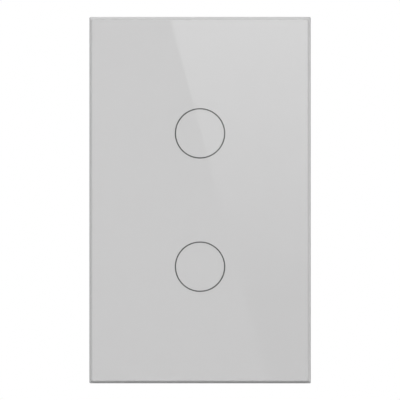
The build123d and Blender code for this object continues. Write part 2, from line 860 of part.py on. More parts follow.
def terminal_cage(x):
    half = cage_w / 2
    cage = block((x - half, x + half), (cage_front_rest, cage_back_rest), (cage_low, cage_high))
    inner = half - cage_side
    cage -= block((x - inner, x + inner), (cage_window_front, cage_window_back), (cage_low, cage_high))
    hole = disc(terminal_screw_r + terminal_screw_fit, x, terminal_screw_z)
    return cage - plate(hole, cage_window_back, cage_back_rest)


def terminal_busbar(x):
    half = busbar_w / 2
    bar = block((x - half, x + half), (busbar_front, busbar_back), (cage_low, busbar_top))
    leg = block((x - half, x + half), (lead_tip, busbar_back), (busbar_top - busbar_t, busbar_top))
    return bar + leg


# Build and write every part

os.makedirs("parts", exist_ok=True)

save("glass_panel", glass_panel())
save("back_print", back_print())
save("ring_print", *ring_print())
save("panel_tape", panel_tape())
save("panel_frame", panel_frame())

save("front_cover", front_cover())
save("light_guides", *[light_guide(z) for z in zone_z])
for number, zone in enumerate(zone_z, start=1):
    save(f"touch_spring_{number}", touch_spring(zone))
save("touch_board", touch_board())
save("touch_chip", touch_chip())
save("indicator_leds", *indicator_leds())
save("insulation_sheet", insulation_sheet())
save("header_strip", header_strip())
save("header_pins", *header_pin_set())
save("socket_strip", socket_strip())
save("radio_board", radio_board())
save("radio_shield", radio_shield())

save("mounting_strap", mounting_strap())
save("wall_screws", *[wall_screw(side * wall_screw_pitch / 2) for side in (-1, 1)])
save("earth_screw", earth_screw())

save("rear_housing", rear_housing())
save("rear_label", rear_label())
save("housing_screws", *[housing_screw(x, z) for x, z in corner_places])

save("power_board", power_board())
for number, x in enumerate(relay_x, start=1):
    save(f"relay_{number}_case", relay_case(x))
    save(f"relay_{number}_base", *relay_base(x))
    save(f"relay_{number}_coil", relay_coil(x))
    save(f"relay_{number}_yoke", relay_yoke(x))
    save(f"relay_{number}_armature", relay_armature(x))
    save(f"relay_{number}_contact", relay_contact(x))
save("transformer_core", transformer_core())
save("transformer_bobbin", transformer_bobbin())
save("transformer_winding", transformer_winding())
save("input_capacitor", capacitor(*capacitor_places[0]))
save("output_capacitor", capacitor(*capacitor_places[1]))
save("film_capacitor", moulded_box(film_size, film_x, film_z, box_edge))
save("fuse", moulded_box(fuse_size, fuse_x, fuse_z, box_edge))
save("varistor", varistor())
save("choke", choke())
save("rectifier", moulded_box(rectifier_size, rectifier_x, low_chip_z, chip_edge))
save("power_chip", moulded_box(power_chip_size, power_chip_x, low_chip_z, chip_edge))

save("terminal_body", *[terminal_module(x) for x in terminal_x])
save("terminal_busbars", *[terminal_busbar(x) for x in terminal_x])
for number, x in enumerate(terminal_x, start=1):
    save(f"terminal_screw_{number}", terminal_screw(x))
    save(f"terminal_cage_{number}", terminal_cage(x))
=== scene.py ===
"""Looks of a glass touch switch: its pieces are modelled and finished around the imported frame."""

import json
import math

import bpy
from bpy.props import FloatProperty, FloatVectorProperty, IntProperty, PointerProperty
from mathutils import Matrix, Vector

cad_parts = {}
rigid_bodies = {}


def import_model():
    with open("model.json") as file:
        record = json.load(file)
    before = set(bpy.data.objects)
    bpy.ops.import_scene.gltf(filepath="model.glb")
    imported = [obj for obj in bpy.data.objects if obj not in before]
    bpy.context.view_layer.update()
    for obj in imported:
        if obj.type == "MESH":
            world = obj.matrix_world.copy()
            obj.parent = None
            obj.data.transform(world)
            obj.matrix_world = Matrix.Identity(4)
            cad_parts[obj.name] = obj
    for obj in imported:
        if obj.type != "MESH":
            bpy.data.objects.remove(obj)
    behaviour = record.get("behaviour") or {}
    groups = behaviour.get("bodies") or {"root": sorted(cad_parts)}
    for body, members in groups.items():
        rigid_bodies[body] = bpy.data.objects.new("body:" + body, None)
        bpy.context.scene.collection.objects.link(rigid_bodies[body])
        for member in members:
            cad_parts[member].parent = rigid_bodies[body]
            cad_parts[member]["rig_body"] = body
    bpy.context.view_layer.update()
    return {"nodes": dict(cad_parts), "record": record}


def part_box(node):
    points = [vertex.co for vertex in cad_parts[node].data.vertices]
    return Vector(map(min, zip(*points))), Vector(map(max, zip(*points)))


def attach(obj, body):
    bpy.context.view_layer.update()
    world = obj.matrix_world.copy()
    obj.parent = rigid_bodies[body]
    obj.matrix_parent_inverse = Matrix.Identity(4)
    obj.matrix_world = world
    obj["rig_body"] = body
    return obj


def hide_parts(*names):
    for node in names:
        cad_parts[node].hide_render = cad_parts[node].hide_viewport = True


bl_info = {
    "name": "Glass touch switch",
    "version": (1, 0, 0),
    "blender": (4, 5, 0),
    "location": "View3D > Sidebar > Touch switch",
    "description": "Models and finishes a two-zone glass touch switch around its frame",
    "category": "Add Mesh",
}

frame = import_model()

MM = 0.001

# How close points lie that count as being in one plane, or as one point.
NEAR = 0.01 * MM
MERGED = 0.001 * MM

WHITE = (1, 1, 1, 1)

# Sockets of the Mix node that mix colours.
RGBA_A = 6
RGBA_B = 7
RGBA_RESULT = 2

# How far a face's normal looks one way before the face counts as facing it, or as flat to it.
FACING = 0.9
FLAT = 0.99

# Edges sharper than these are kept sharp in the shading, rounded, or kept when flats are merged.
SMOOTH_ANGLE = math.radians(35)
SHARP_ANGLE = math.radians(30)
FLAT_ANGLE = math.radians(0.5)

# Sides of a turned piece.
SIDES = 64

# A thread's outline over one pitch: the share of its height, and the place along the pitch.
# Its start is shifted off the planes that cut it square.
THREAD = ((0.0, -0.5), (0.0, -0.44), (1.0, -0.06), (1.0, 0.06), (0.0, 0.44), (0.0, 0.5))
THREAD_STEPS = 28
THREAD_START = 1.0137

# Crowns of the screw heads: the share of the head's radius, and the drop from its face in millimetres.
OVAL_CROWN = ((0.35, 0.0), (0.62, 0.12), (0.82, 0.38), (0.94, 0.75), (1.0, 1.2))
PAN_CROWN = ((0.72, 0.0), (0.86, 0.08), (0.95, 0.3), (1.0, 0.7))
CHEESE_CROWN = ((1.0, 0.4), (0.95, 0.15), (0.84, 0.0))

# Screw heads in millimetres, radius and height, and the arm of a cross as a share of a slot's width.
HOUSING_SCREW_HEAD = 2.2
HOUSING_SCREW_UNDER = 2.0
TERMINAL_SCREW_UNDER = 1.95
CROSS_WIDTH = 0.7

# The stub under a head that its thread is joined to: a share of the thread's core, and a length.
STUB = 0.9
STUB_LENGTH = 0.7

# One turn of a winding: the share of its width, and the share of the groove's depth.
TURN_OUTLINE = ((0.0, 1.0), (0.25, 0.2), (0.5, 0.0), (0.75, 0.2))

# A capacitor's can, in millimetres: inset from its side, with the rise from its foot or the drop from its top.
CAN_FOOT = (
    (0.3, 0.0), (0.06, 0.12), (0.0, 0.35), (0.0, 0.95), (0.16, 1.1), (0.35, 1.3), (0.16, 1.5), (0.0, 1.65)
)
CAN_TOP = ((0.0, 0.55), (0.1, 0.25), (0.35, 0.06), (0.6, 0.0), (0.72, 0.06), (0.76, 0.22))
SCORE_WIDTH = 0.2
SCORE_DEPTH = 0.1

# Half of a dipped disc: the share of its radius, and the share of its thickness.
DISC_OUTLINE = ((0.35, 0.0), (0.67, 0.02), (0.87, 0.14), (0.96, 0.28), (1.0, 0.42))

# Chips, in millimetres: the dimple that marks the first leg, and a leg's bends as drop and reach.
CHIP_MARK = 0.3
LEG_RISE = 1.0
LEG_ROOT = 0.3
LEG_THICKNESS = 0.2
LEG_BENDS = ((0.0, 0.55), (-0.9, 0.25), (0.0, 0.5))
LEG_EDGE = 0.04

# Sizes of the patterns on surfaces, in millimetres. The wave and the fibres have their real size. Grit, frost,
# mesh and cells are drawn coarser than they are, or they wouldn't show.
ROLLER_WAVE = 35
GRIT = 0.12
FROST = 0.2
PRINT_MESH = 0.25
FOAM_CELL = 0.3
FIBRE = 2 / 3

# Circuit boards, in millimetres: areas whose tracks run one way, and the spacing of tracks and pads. The
# tracks are drawn further apart than real ones, so that they show.
BOARD_AREA = 6.0
TRACK_PITCH = 1.3
PAD_PITCH = 2.54

# The height in a wave where its track begins, the share of areas with no tracks, and a pad's radius as a share
# of its cell.
TRACK_HEIGHT = 0.8
BARE_AREAS = 0.3
PAD_RADIUS = 0.17

# The label on the back, in millimetres: border, heights of the rules, and the divider's place.
LABEL_MARGIN = 0.55
LABEL_RULES = (8.2, 3.8, -0.6)
LABEL_DIVIDER = 3.0
LABEL_LINE = 0.2

# The terminals' numbers, and the size of the font for each unit of a digit's height.
TERMINALS = range(1, 5)
DIGIT_SIZE = 1.4


def linear(hex_colour):
    """An sRGB hex colour as the linear values that a shader takes."""
    parts = [int(hex_colour[i : i + 2], 16) / 255 for i in (1, 3, 5)]
    return (*[p / 12.92 if p <= 0.04045 else ((p + 0.055) / 1.055) ** 2.4 for p in parts], 1.0)


def length_property(name, millimetres, description):
    return FloatProperty(name=name, description=description, default=millimetres * MM, min=0, unit="LENGTH")


def colour_property(name, hex_colour, description):
    default = linear(hex_colour)
    return FloatVectorProperty(name=name, description=description, default=default, size=4, subtype="COLOR")


class SwitchSizes(bpy.types.PropertyGroup):
    """Sizes that the frame doesn't give: softened edges, threads and wires."""

    glass_corner: length_property("Glass corner", 0.4, "Radius of the glass's four corners")
    glass_chamfer: length_property("Glass chamfer", 0.68, "Width of the ground round along the glass's front")
    glass_seam: length_property("Glass seam", 0.3, "Width of the seamed edge round the back of the glass")
    arris: length_property("Arris", 0.05, "Softened width along each edge of the glass")
    print_gap: length_property("Print gap", 0.02, "Air between the glass and the print behind it")
    moulded_edge: length_property("Moulded edge", 0.18, "Rounding of the moulded plastic edges")
    stamped_edge: length_property("Stamped edge", 0.1, "Rounding of the stamped sheet edges")
    sheet_edge: length_property("Sheet edge", 0.06, "Rounding of boards, tape and thin sheets")
    print_edge: length_property("Print edge", 0.02, "Rounding of the printed layers")
    block_edge: length_property("Block edge", 0.35, "Rounding of the moulded blocks on the board")
    coil_wire: length_property("Coil wire", 0.35, "Width of a turn of the relay coils, coarser than real wire")
    tape_width: length_property("Tape width", 2.07, "Width of one turn of the transformer's tape")
    number_height: length_property("Number height", 2.0, "Height of the numbers above the terminal screws")
    number_relief: length_property("Number relief", 0.15, "Height of the numbers off the terminals' face")
    wall_thread: length_property("Wall screw thread", 0.794, "Pitch of the wall screws' thread")
    tapping_thread: length_property("Tapping thread", 1.0, "Pitch of the housing screws' thread")
    terminal_thread: length_property("Terminal thread", 0.5, "Pitch of the terminal screws' thread")
    drive_width: length_property("Drive width", 0.9, "Width of the slot in each screw head")
    drive_depth: length_property("Drive depth", 0.8, "Depth of the slot in each screw head")
    spring_wire: length_property("Spring wire", 0.4, "Diameter of the touch springs' wire")
    spring_half_turns: IntProperty(
        name="Spring half turns", description="Half turns in each touch spring", default=5
    )


class SwitchColours(bpy.types.PropertyGroup):
    """Colours of the pieces that show most."""

    ink: colour_property("Print", "#C8C5C7", "Ink fired on the back of the glass")
    ring: colour_property("Rings", "#363636", "Ring lines in the print")
    edge: colour_property("Glass edge", "#B7B7B7", "Ground edge of the glass")
    frame: colour_property("Panel frame", "#A8A8A9", "Moulded frame that carries the glass")
    cover: colour_property("Front cover", "#E6E6E3", "Moulded cover in front of the touch board")
    housing: colour_property("Rear housing", "#2B2B2D", "Moulded box behind the strap")
    terminal: colour_property("Terminals", "#2E8B57", "Moulded terminal blocks")
    floor: colour_property("Floor", "#F4F4F4", "Studio floor")
    bounce: colour_property("Floor bounce", "#606060", "Light that the floor gives back to dull surfaces")


# Modelling


def deselect():
    bpy.ops.object.select_all(action="DESELECT")


def choose(piece):
    """Make the piece the only selected one, and the active one."""
    deselect()
    piece.select_set(True)
    bpy.context.view_layer.objects.active = piece


def named(name):
    """Name the primitive that was just added, and put its place into its mesh."""
    piece = bpy.context.object
    piece.name = name
    piece.data.name = name
    bpy.ops.object.transform_apply(location=True, rotation=True, scale=True)
    return piece


def linked(name, data):
    """A new object that holds a mesh, a lamp or a camera."""
    piece = bpy.data.objects.new(name, data)
    bpy.context.scene.collection.objects.link(piece)
    return piece


def box_piece(name, low, high):
    """A box from its lowest to its highest corner, to be shaped further."""
    deselect()
    bpy.ops.mesh.primitive_cube_add(size=1, location=(low + high) / 2, scale=high - low)
    return named(name)


def pick(piece, kind, test):
    """Enter edit mode with only those edges or faces selected that pass the test of their points or centre."""
    choose(piece)
    mesh = piece.data
    kinds = ("vertices", "edges", "polygons")
    bpy.context.tool_settings.mesh_select_mode = [kind == k for k in kinds]
    for k in kinds:
        items = getattr(mesh, k)
        items.foreach_set("select", [False] * len(items))
    for item in getattr(mesh, kind):
        if kind == "polygons":
            item.select = test(item.center, item.normal)
        else:
            item.select = test(*[mesh.vertices[v].co for v in item.vertices])
    bpy.ops.object.mode_set(mode="EDIT")


def edit_all(piece):
    """Enter edit mode with the whole piece selected."""
    pick(piece, "edges", lambda a, b: True)
    bpy.ops.mesh.select_all(action="SELECT")


def leave_edit():
    bpy.ops.object.mode_set(mode="OBJECT")


def bevel(piece, test, width, segments=1):
    """Bevel the edges whose two ends pass the test."""
    pick(piece, "edges", test)
    bpy.ops.mesh.bevel(offset=width, offset_type="OFFSET", segments=segments, affect="EDGES")
    leave_edit()


def turn_about(piece, angle, axis, middle):
    """Turn a piece's mesh about an axis through a point."""
    edit_all(piece)
    bpy.ops.transform.rotate(value=angle, orient_axis=axis, center_override=middle)
    leave_edit()


def apply_modifier(piece, kind, **settings):
    """Add a modifier with its settings, and apply it."""
    choose(piece)
    modifier = piece.modifiers.new(kind.lower(), kind)
    for key, value in settings.items():
        setattr(modifier, key, value)
    bpy.ops.object.modifier_apply(modifier=modifier.name)


def smooth(piece):
    """Shade rounded edges smoothly, and keep broad faces flat between them."""
    choose(piece)
    bpy.ops.object.shade_smooth_by_angle(angle=SMOOTH_ANGLE)
    apply_modifier(piece, "WEIGHTED_NORMAL", weight=100, keep_sharp=True)


def soften(piece, width, segments=2):
    """Round every sharp edge a little, so that it catches the light."""
    by_angle = {"limit_method": "ANGLE", "angle_limit": SHARP_ANGLE}
    apply_modifier(piece, "BEVEL", width=width, segments=segments, **by_angle)
    smooth(piece)


def face_outwards(piece):
    """Merge what coincides and turn every face outwards."""
    edit_all(piece)
    bpy.ops.mesh.remove_doubles(threshold=MERGED / 2)
    bpy.ops.mesh.normals_make_consistent(inside=False)
    leave_edit()


def cut(piece, tool, operation="DIFFERENCE"):
    """Cut the tool's shape out of the piece, join the two or keep what they share, and remove the tool."""
    apply_modifier(piece, "BOOLEAN", object=tool, operation=operation, solver="EXACT")
    bpy.data.objects.remove(tool)


def copied(node, name):
    """A copy of a CAD node with its triangles merged into whole flats."""
    piece = linked(name, frame["nodes"][node].data.copy())
    edit_all(piece)
    bpy.ops.mesh.remove_doubles(threshold=MERGED)
    bpy.ops.mesh.dissolve_limited(angle_limit=FLAT_ANGLE)
    leave_edit()
    return piece


def joined(pieces):
    """Join like pieces into one object."""
    choose(pieces[0])
    for piece in pieces:
        piece.select_set(True)
    bpy.ops.object.join()
    return pieces[0]


def span(node):
    """The lowest and highest corner and the middle of a node's box, and half its width in millimetres."""
    low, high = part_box(node)
    return low, high, (low + high) / 2, (high.x - low.x) / 2 / MM


def turned(name, steps, place, sides=SIDES):
    """A turned piece along Y: a disc, extruded to each pair of radius and depth in millimetres."""
    deselect()
    radius, depth = steps[0]
    axis = Vector((place.x, depth * MM, place.z))
    bpy.ops.mesh.primitive_circle_add(
        vertices=sides, radius=radius * MM, fill_type="NGON", location=axis, rotation=(math.pi / 2, 0, 0)
    )
    piece = named(name)
    edit_all(piece)
    for next_radius, next_depth in steps[1:]:
        step = Vector((0, (next_depth - depth) * MM, 0))
        bpy.ops.mesh.extrude_region_move(TRANSFORM_OT_translate={"value": step})
        axis = axis + step
        share = next_radius / radius
        bpy.ops.transform.resize(value=(share, 1, share), center_override=axis)
        radius, depth = next_radius, next_depth
    leave_edit()
    face_outwards(piece)
    return piece


def slotted(head, place, y, out, width, depth, reach, both=False):
    """Cut a slot, or a cross, into a face that is at y and looks along out. The cut has the second finish."""
    half = width / 2
    floor, above = sorted((y - out * depth, y + out * MM))
    spans = [(reach, half)] + ([(half, reach)] if both else [])
    for wide, tall in spans:
        low = Vector((place.x - wide, floor, place.z - tall))
        tool = box_piece("drive", low, Vector((place.x + wide, above, place.z + tall)))
        for piece in (head, tool):
            while len(piece.data.materials) < 2:
                piece.data.materials.append(None)
        for face in tool.data.polygons:
            face.material_index = 1
        cut(head, tool)


def threaded(piece, place, core, crest, pitch, root, tip, lead=0.6, point=0.75):
    """Wind a thread on a piece: one pitch of its outline is wound up, cut square and drawn in at the tip.

    The radii of the core and the crest, the root's place along Y and the lead are in millimetres.
    """
    core, crest, root = core * MM, crest * MM, root * MM
    deselect()
    bpy.ops.mesh.primitive_circle_add(vertices=len(THREAD), radius=crest)
    rod = named("thread")
    for corner, (height, share) in zip(rod.data.vertices, THREAD):
        corner.co = (core + (crest - core) * height, share * pitch, 0)
    pick(rod, "edges", lambda a, b: abs(a.y - b.y) > 0.9 * pitch)
    bpy.ops.mesh.delete(type="EDGE")
    leave_edit()
    low, high = sorted((root, tip))
    apply_modifier(
        rod, "SCREW", axis="Y", screw_offset=pitch, steps=THREAD_STEPS, render_steps=THREAD_STEPS,
        iterations=math.ceil((high - low) / pitch) + 2,
    )
    edit_all(rod)
    bpy.ops.mesh.remove_doubles(threshold=MERGED)
    bpy.ops.transform.translate(value=(place.x, low - THREAD_START * pitch, place.z))
    for y, way in ((low, -1), (high, 1)):
        bpy.ops.mesh.select_all(action="SELECT")
        plane = {"plane_co": (place.x, y, place.z), "plane_no": (0, way, 0)}
        bpy.ops.mesh.bisect(**plane, use_fill=True, clear_outer=True, threshold=MERGED)
    leave_edit()
    for corner in rod.data.vertices:
        share = min(abs(corner.co.y - tip) / (lead * MM), 1)
        drawn = point + (1 - point) * share
        corner.co.x = place.x + (corner.co.x - place.x) * drawn
        corner.co.z = place.z + (corner.co.z - place.z) * drawn
    face_outwards(rod)
    cut(piece, rod, "UNION")


def finished(piece, slot, body, second=None):
    """Give a piece the finish of a slot, a second finish where some of its faces have one, and its body."""
    used = [finish(slot)] + ([second] if second else [])
    while len(piece.data.materials) < len(used):
        piece.data.materials.append(None)
    for place, material in enumerate(used):
        piece.data.materials[place] = material
    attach(piece, body)


def dress(piece, node, second=None):
    """Give a piece the finish and the body of the node that it stands for, and hide that node."""
    finished(piece, slot_of[node], frame["nodes"][node]["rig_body"], second)
    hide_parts(node)


def second_finish(piece, test):
    """Use the second finish on the faces whose centre and normal pass the test."""
    for face in piece.data.polygons:
        face.material_index = 1 if test(face.center, face.normal) else 0


def softened(pieces, width, segments=2):
    """Replace CAD nodes, given with the names of their pieces, by copies whose edges are rounded."""
    for node, name in pieces.items():
        piece = copied(node, name)
        soften(piece, width, segments)
        dress(piece, node)


# Materials


def add(tree, kind, settings=None, links=None):
    """Add one shader node to a material, with its settings by name and its links by input."""
    node = tree.nodes.new("ShaderNode" + kind)
    for key, value in (settings or {}).items():
        if isinstance(key, str) and hasattr(node, key):
            setattr(node, key, value)
        else:
            node.inputs[key].default_value = value
    for key, source in (links or {}).items():
        tree.links.new(source, node.inputs[key])
    return node


def begin(name):
    """A new material, its nodes, and the place on the object in millimetres."""
    material = bpy.data.materials.new(name)
    material.use_nodes = True
    tree = material.node_tree
    tree.nodes.clear()
    place = add(tree, "TexCoord").outputs["Object"]
    scaled = add(tree, "Mapping", {"Scale": (1 / MM,) * 3}, {"Vector": place})
    return material, tree, scaled.outputs["Vector"]


def end(material, shader):
    """Join the last shader to the material's output, and give the material."""
    add(material.node_tree, "OutputMaterial", links={"Surface": shader.outputs[0]})
    return material


def end_as_glass(material, shader):
    """End glass so that the light of lamps and dull surfaces passes it, with no bright caustics."""
    tree = material.node_tree
    path = add(tree, "LightPath").outputs
    rays = {0: path["Is Shadow Ray"], 1: path["Is Diffuse Ray"]}
    passing = add(tree, "Math", {"operation": "MAXIMUM"}, rays).outputs[0]
    links = {0: passing, 1: shader.outputs[0], 2: add(tree, "BsdfTransparent").outputs[0]}
    return end(material, add(tree, "MixShader", links=links))


def shade(colour, amount):
    """The same colour, lighter or darker."""
    return (*[min(c * amount, 1.0) for c in colour[:3]], 1.0)


def clouds(tree, place, colour, size, spread):
    """A colour that drifts a little over patches of a size in millimetres."""
    patches = add(tree, "TexNoise", {"Scale": 1 / size, "Detail": 3.0}, {"Vector": place})
    ends = {RGBA_A: shade(colour, 1 - spread), RGBA_B: shade(colour, 1 + spread)}
    mix = add(tree, "Mix", {"data_type": "RGBA", **ends}, {"Factor": patches.outputs[0]})
    return mix.outputs[RGBA_RESULT]


def roughened(tree, place, low, high, size):
    """A roughness that varies between two values over patches of a size in millimetres."""
    patches = add(tree, "TexNoise", {"Scale": 1 / size, "Detail": 4.0}, {"Vector": place})
    limits = {"From Min": 0.3, "From Max": 0.7, "To Min": low, "To Max": high}
    return add(tree, "MapRange", limits, {"Value": patches.outputs[0]}).outputs[0]


def surfaced(name, settings, cloud, texture, depth, rough=None, stretch=None, close=end):
    """A material with plain settings, a relief, and where they are given a drifting colour and roughness.

    texture is the kind and the settings of the relief's node, and depth its full height in millimetres. cloud
    is a colour, the size of its patches and their spread. rough is the limits of the roughness and the size of
    its patches. stretch draws the relief and the roughness out.
    """
    material, tree, place = begin(name)
    drawn = add(tree, "Mapping", {"Scale": stretch}, {"Vector": place}).outputs[0] if stretch else place
    height = add(tree, *texture, {"Vector": drawn}).outputs[0]
    links = {"Normal": add(tree, "Bump", {"Distance": depth * MM}, {"Height": height}).outputs[0]}
    if cloud:
        links["Base Color"] = clouds(tree, place, *cloud)
    if rough:
        links["Roughness"] = roughened(tree, drawn, *rough)
    return close(material, add(tree, "BsdfPrincipled", settings, links))


def moulded(name, colour, roughness, grain, depth, coat=0.0):
    """A moulded plastic: an even spark grain that breaks up the highlight, and faint clouds from the flow.

    The grain is drawn a few times coarser than it is, so that it shows.
    """
    settings = {"IOR": 1.53, "Coat Weight": coat}
    rough = (roughness - 0.03, roughness + 0.04, 6)
    sparks = "TexNoise", {"Scale": 1 / grain, "Detail": 2.0, "Roughness": 0.6}
    return surfaced(name, settings, (colour, 18, 0.035), sparks, depth, rough)


def metal(name, colour, roughness, stretch, depth, spread=0.06, size=3):
    """A bare or plated metal: fine lines in one direction, and a sheen that drifts over it."""
    rough = (roughness - 0.06, roughness + 0.1, 1)
    lines = "TexNoise", {"Scale": 1.0, "Detail": 3.0, "Roughness": 0.7}
    return surfaced(name, {"Metallic": 1.0}, (colour, size, spread), lines, depth, rough, stretch)


def drawn_can():
    """Drawn aluminium: the bare top of a capacitor's can, satin with fine rings from the draw."""
    return metal("drawn_aluminium_can", linear("#C9CBCD"), 0.3, (4.0, 1.0, 4.0), 0.002, 0.04, 2)


def shadowed_drive(name, hex_colour):
    """Painted shade inside a screw's slot: a darker, duller plating colour, so the slot reads darker than the
    head.
    """
    return metal(name, linear(hex_colour), 0.5, TURNED, 0.004, 0.12, 1)


def toughened_glass(name, colour):
    """Toughened float glass: nearly colourless, faintly green, with a slight roller wave in its mirrorings."""
    clear = {"Base Color": colour, "Roughness": 0.0, "IOR": 1.52, "Transmission Weight": 1.0}
    wave = "TexNoise", {"Scale": 1 / ROLLER_WAVE, "Detail": 1.0}
    return surfaced(name, clear, None, wave, 0.006, close=end_as_glass)


def ground_edge(name, colour):
    """Edge of the glass, ground with fine grit: a frosted grey band that takes its light from all round."""
    grit = "TexNoise", {"Scale": 1 / GRIT, "Detail": 3.0}
    rough = (0.32, 0.44, 1.5)
    return surfaced(name, {"IOR": 1.52}, (colour, 7, 0.02), grit, 0.01, rough, close=end_as_glass)


def fired_ink(name, colour):
    """Screen-printed ink fired on glass: flat and dull, with the faint mottle left by the screen's mesh."""
    dull = {"Roughness": 0.7, "Specular IOR Level": 0.2}
    mottle = "TexVoronoi", {"Scale": 1 / PRINT_MESH}
    return surfaced(name, dull, (colour, 12, 0.006), mottle, 0.004)


def foam_tape(name, colour):
    """Closed-cell acrylic foam: black, dull and finely pitted."""
    cells = "TexVoronoi", {"Scale": 1 / FOAM_CELL}
    return surfaced(name, {"Roughness": 0.85}, (colour, 1.2, 0.2), cells, 0.08)


def frosted_polycarbonate(name, colour):
    """Frosted polycarbonate: a milky clear plastic that spreads the light of the lamps behind it."""
    milky = {"IOR": 1.585, "Transmission Weight": 0.45}
    frost = "TexNoise", {"Scale": 1 / FROST, "Detail": 2.0}
    return surfaced(name, milky, (colour, 8, 0.02), frost, 0.02, (0.35, 0.5, 2))


def metallised_film(name, colour):
    """Metallised polyester label: satin silver with fine lines across it, and no print."""
    lines = "TexNoise", {"Scale": 1.0, "Detail": 3.0}
    rough = (0.34, 0.46, 1)
    return surfaced(name, {"Metallic": 0.55}, (colour, 10, 0.02), lines, 0.003, rough, (0.2, 4.0, 12.0))


def fibre_sheet(name, colour):
    """Vulcanised fibre: a buff sheet with short fibres in its face."""
    material, tree, place = begin(name)
    laid = add(tree, "Mapping", {"Scale": (3.0, 3.0, 0.5)}, {"Vector": place}).outputs[0]
    fibres = add(tree, "TexNoise", {"Scale": 1 / FIBRE, "Detail": 5.0}, {"Vector": laid}).outputs[0]
    relief = add(tree, "Bump", {"Distance": 0.03 * MM}, {"Height": fibres}).outputs[0]
    links = {"Base Color": clouds(tree, laid, colour, 1, 0.07), "Normal": relief}
    return end(material, add(tree, "BsdfPrincipled", {"Roughness": 0.75}, links))


def laminate_board(name, colour):
    """Glass-fibre board under glossy solder mask: copper tracks show through it in runs, among tinned pads."""
    material, tree, place = begin(name)
    over = {"operation": "GREATER_THAN"}
    cells = add(tree, "TexVoronoi", {"distance": "CHEBYCHEV", "Scale": 1 / BOARD_AREA}, {"Vector": place})
    chance = add(tree, "SeparateColor", links={0: cells.outputs["Color"]}).outputs
    runs = []
    for way in ("X", "Z"):
        bands = {"bands_direction": way, "Scale": math.pi / (10 * TRACK_PITCH)}
        wave = add(tree, "TexWave", bands, {"Vector": place})
        runs.append(add(tree, "Math", {**over, 1: TRACK_HEIGHT}, {0: wave.outputs[1]}).outputs[0])
    either = add(tree, "Math", {**over, 1: 0.5}, {0: chance[0]}).outputs[0]
    run = add(tree, "Mix", links={"Factor": either, "A": runs[0], "B": runs[1]}).outputs[0]
    there = add(tree, "Math", {**over, 1: BARE_AREAS}, {0: chance[1]}).outputs[0]
    tracks = add(tree, "Math", {"operation": "MULTIPLY"}, {0: run, 1: there}).outputs[0]
    holes = add(tree, "TexVoronoi", {"Scale": 1 / PAD_PITCH, "Randomness": 0.4}, {"Vector": place})
    near_hole = {"operation": "LESS_THAN", 1: PAD_RADIUS}
    pads = add(tree, "Math", near_hole, {0: holes.outputs["Distance"]}).outputs[0]
    masked = {"data_type": "RGBA", RGBA_A: colour, RGBA_B: shade(colour, 1.45)}
    mask = add(tree, "Mix", masked, {"Factor": tracks}).outputs[RGBA_RESULT]
    tinned = {"data_type": "RGBA", RGBA_B: linear("#C4C5BF")}
    paint = add(tree, "Mix", tinned, {"Factor": pads, RGBA_A: mask}).outputs[RGBA_RESULT]
    raised = add(tree, "Math", {"operation": "MAXIMUM"}, {0: tracks, 1: pads}).outputs[0]
    relief = add(tree, "Bump", {"Distance": 0.03 * MM}, {"Height": raised}).outputs[0]
    return end(material, add(tree, "BsdfPrincipled", {"IOR": 1.5}, {
        "Base Color": paint,
        "Metallic": pads,
        "Roughness": roughened(tree, place, 0.22, 0.34, 5),
        "Normal": relief,
    }))


def wound(name, colour, wire, roughness, metallic):
    """A winding: one turn of wire or tape beside the next along the coil's axis."""
    material, tree, place = begin(name)
    lying = {"bands_direction": "Y", "Scale": math.pi / (10 * wire), "Distortion": 0.4}
    turns = add(tree, "TexWave", lying, {"Vector": place}).outputs[1]
    relief = add(tree, "Bump", {"Distance": wire * 0.3 * MM}, {"Height": turns}).outputs[0]
    surface = {"Metallic": metallic, "Roughness": roughness}
    links = {"Base Color": clouds(tree, place, colour, 1.5, 0.12), "Normal": relief}
    return end(material, add(tree, "BsdfPrincipled", surface, links))


finishes = {}
slot_of = {part["node"]: part["material_slot"] for part in frame["record"]["subparts"]}

# How a metal's fine lines are drawn out: across the panel, up it, or round a turned piece. They come out about
# 0.2 mm wide and 2 mm long, coarser than the marks of a roller or a lathe, so that they show.
ACROSS = (0.4, 6.0, 6.0)
ALONG = (6.0, 6.0, 0.4)
TURNED = (5.0, 0.6, 5.0)

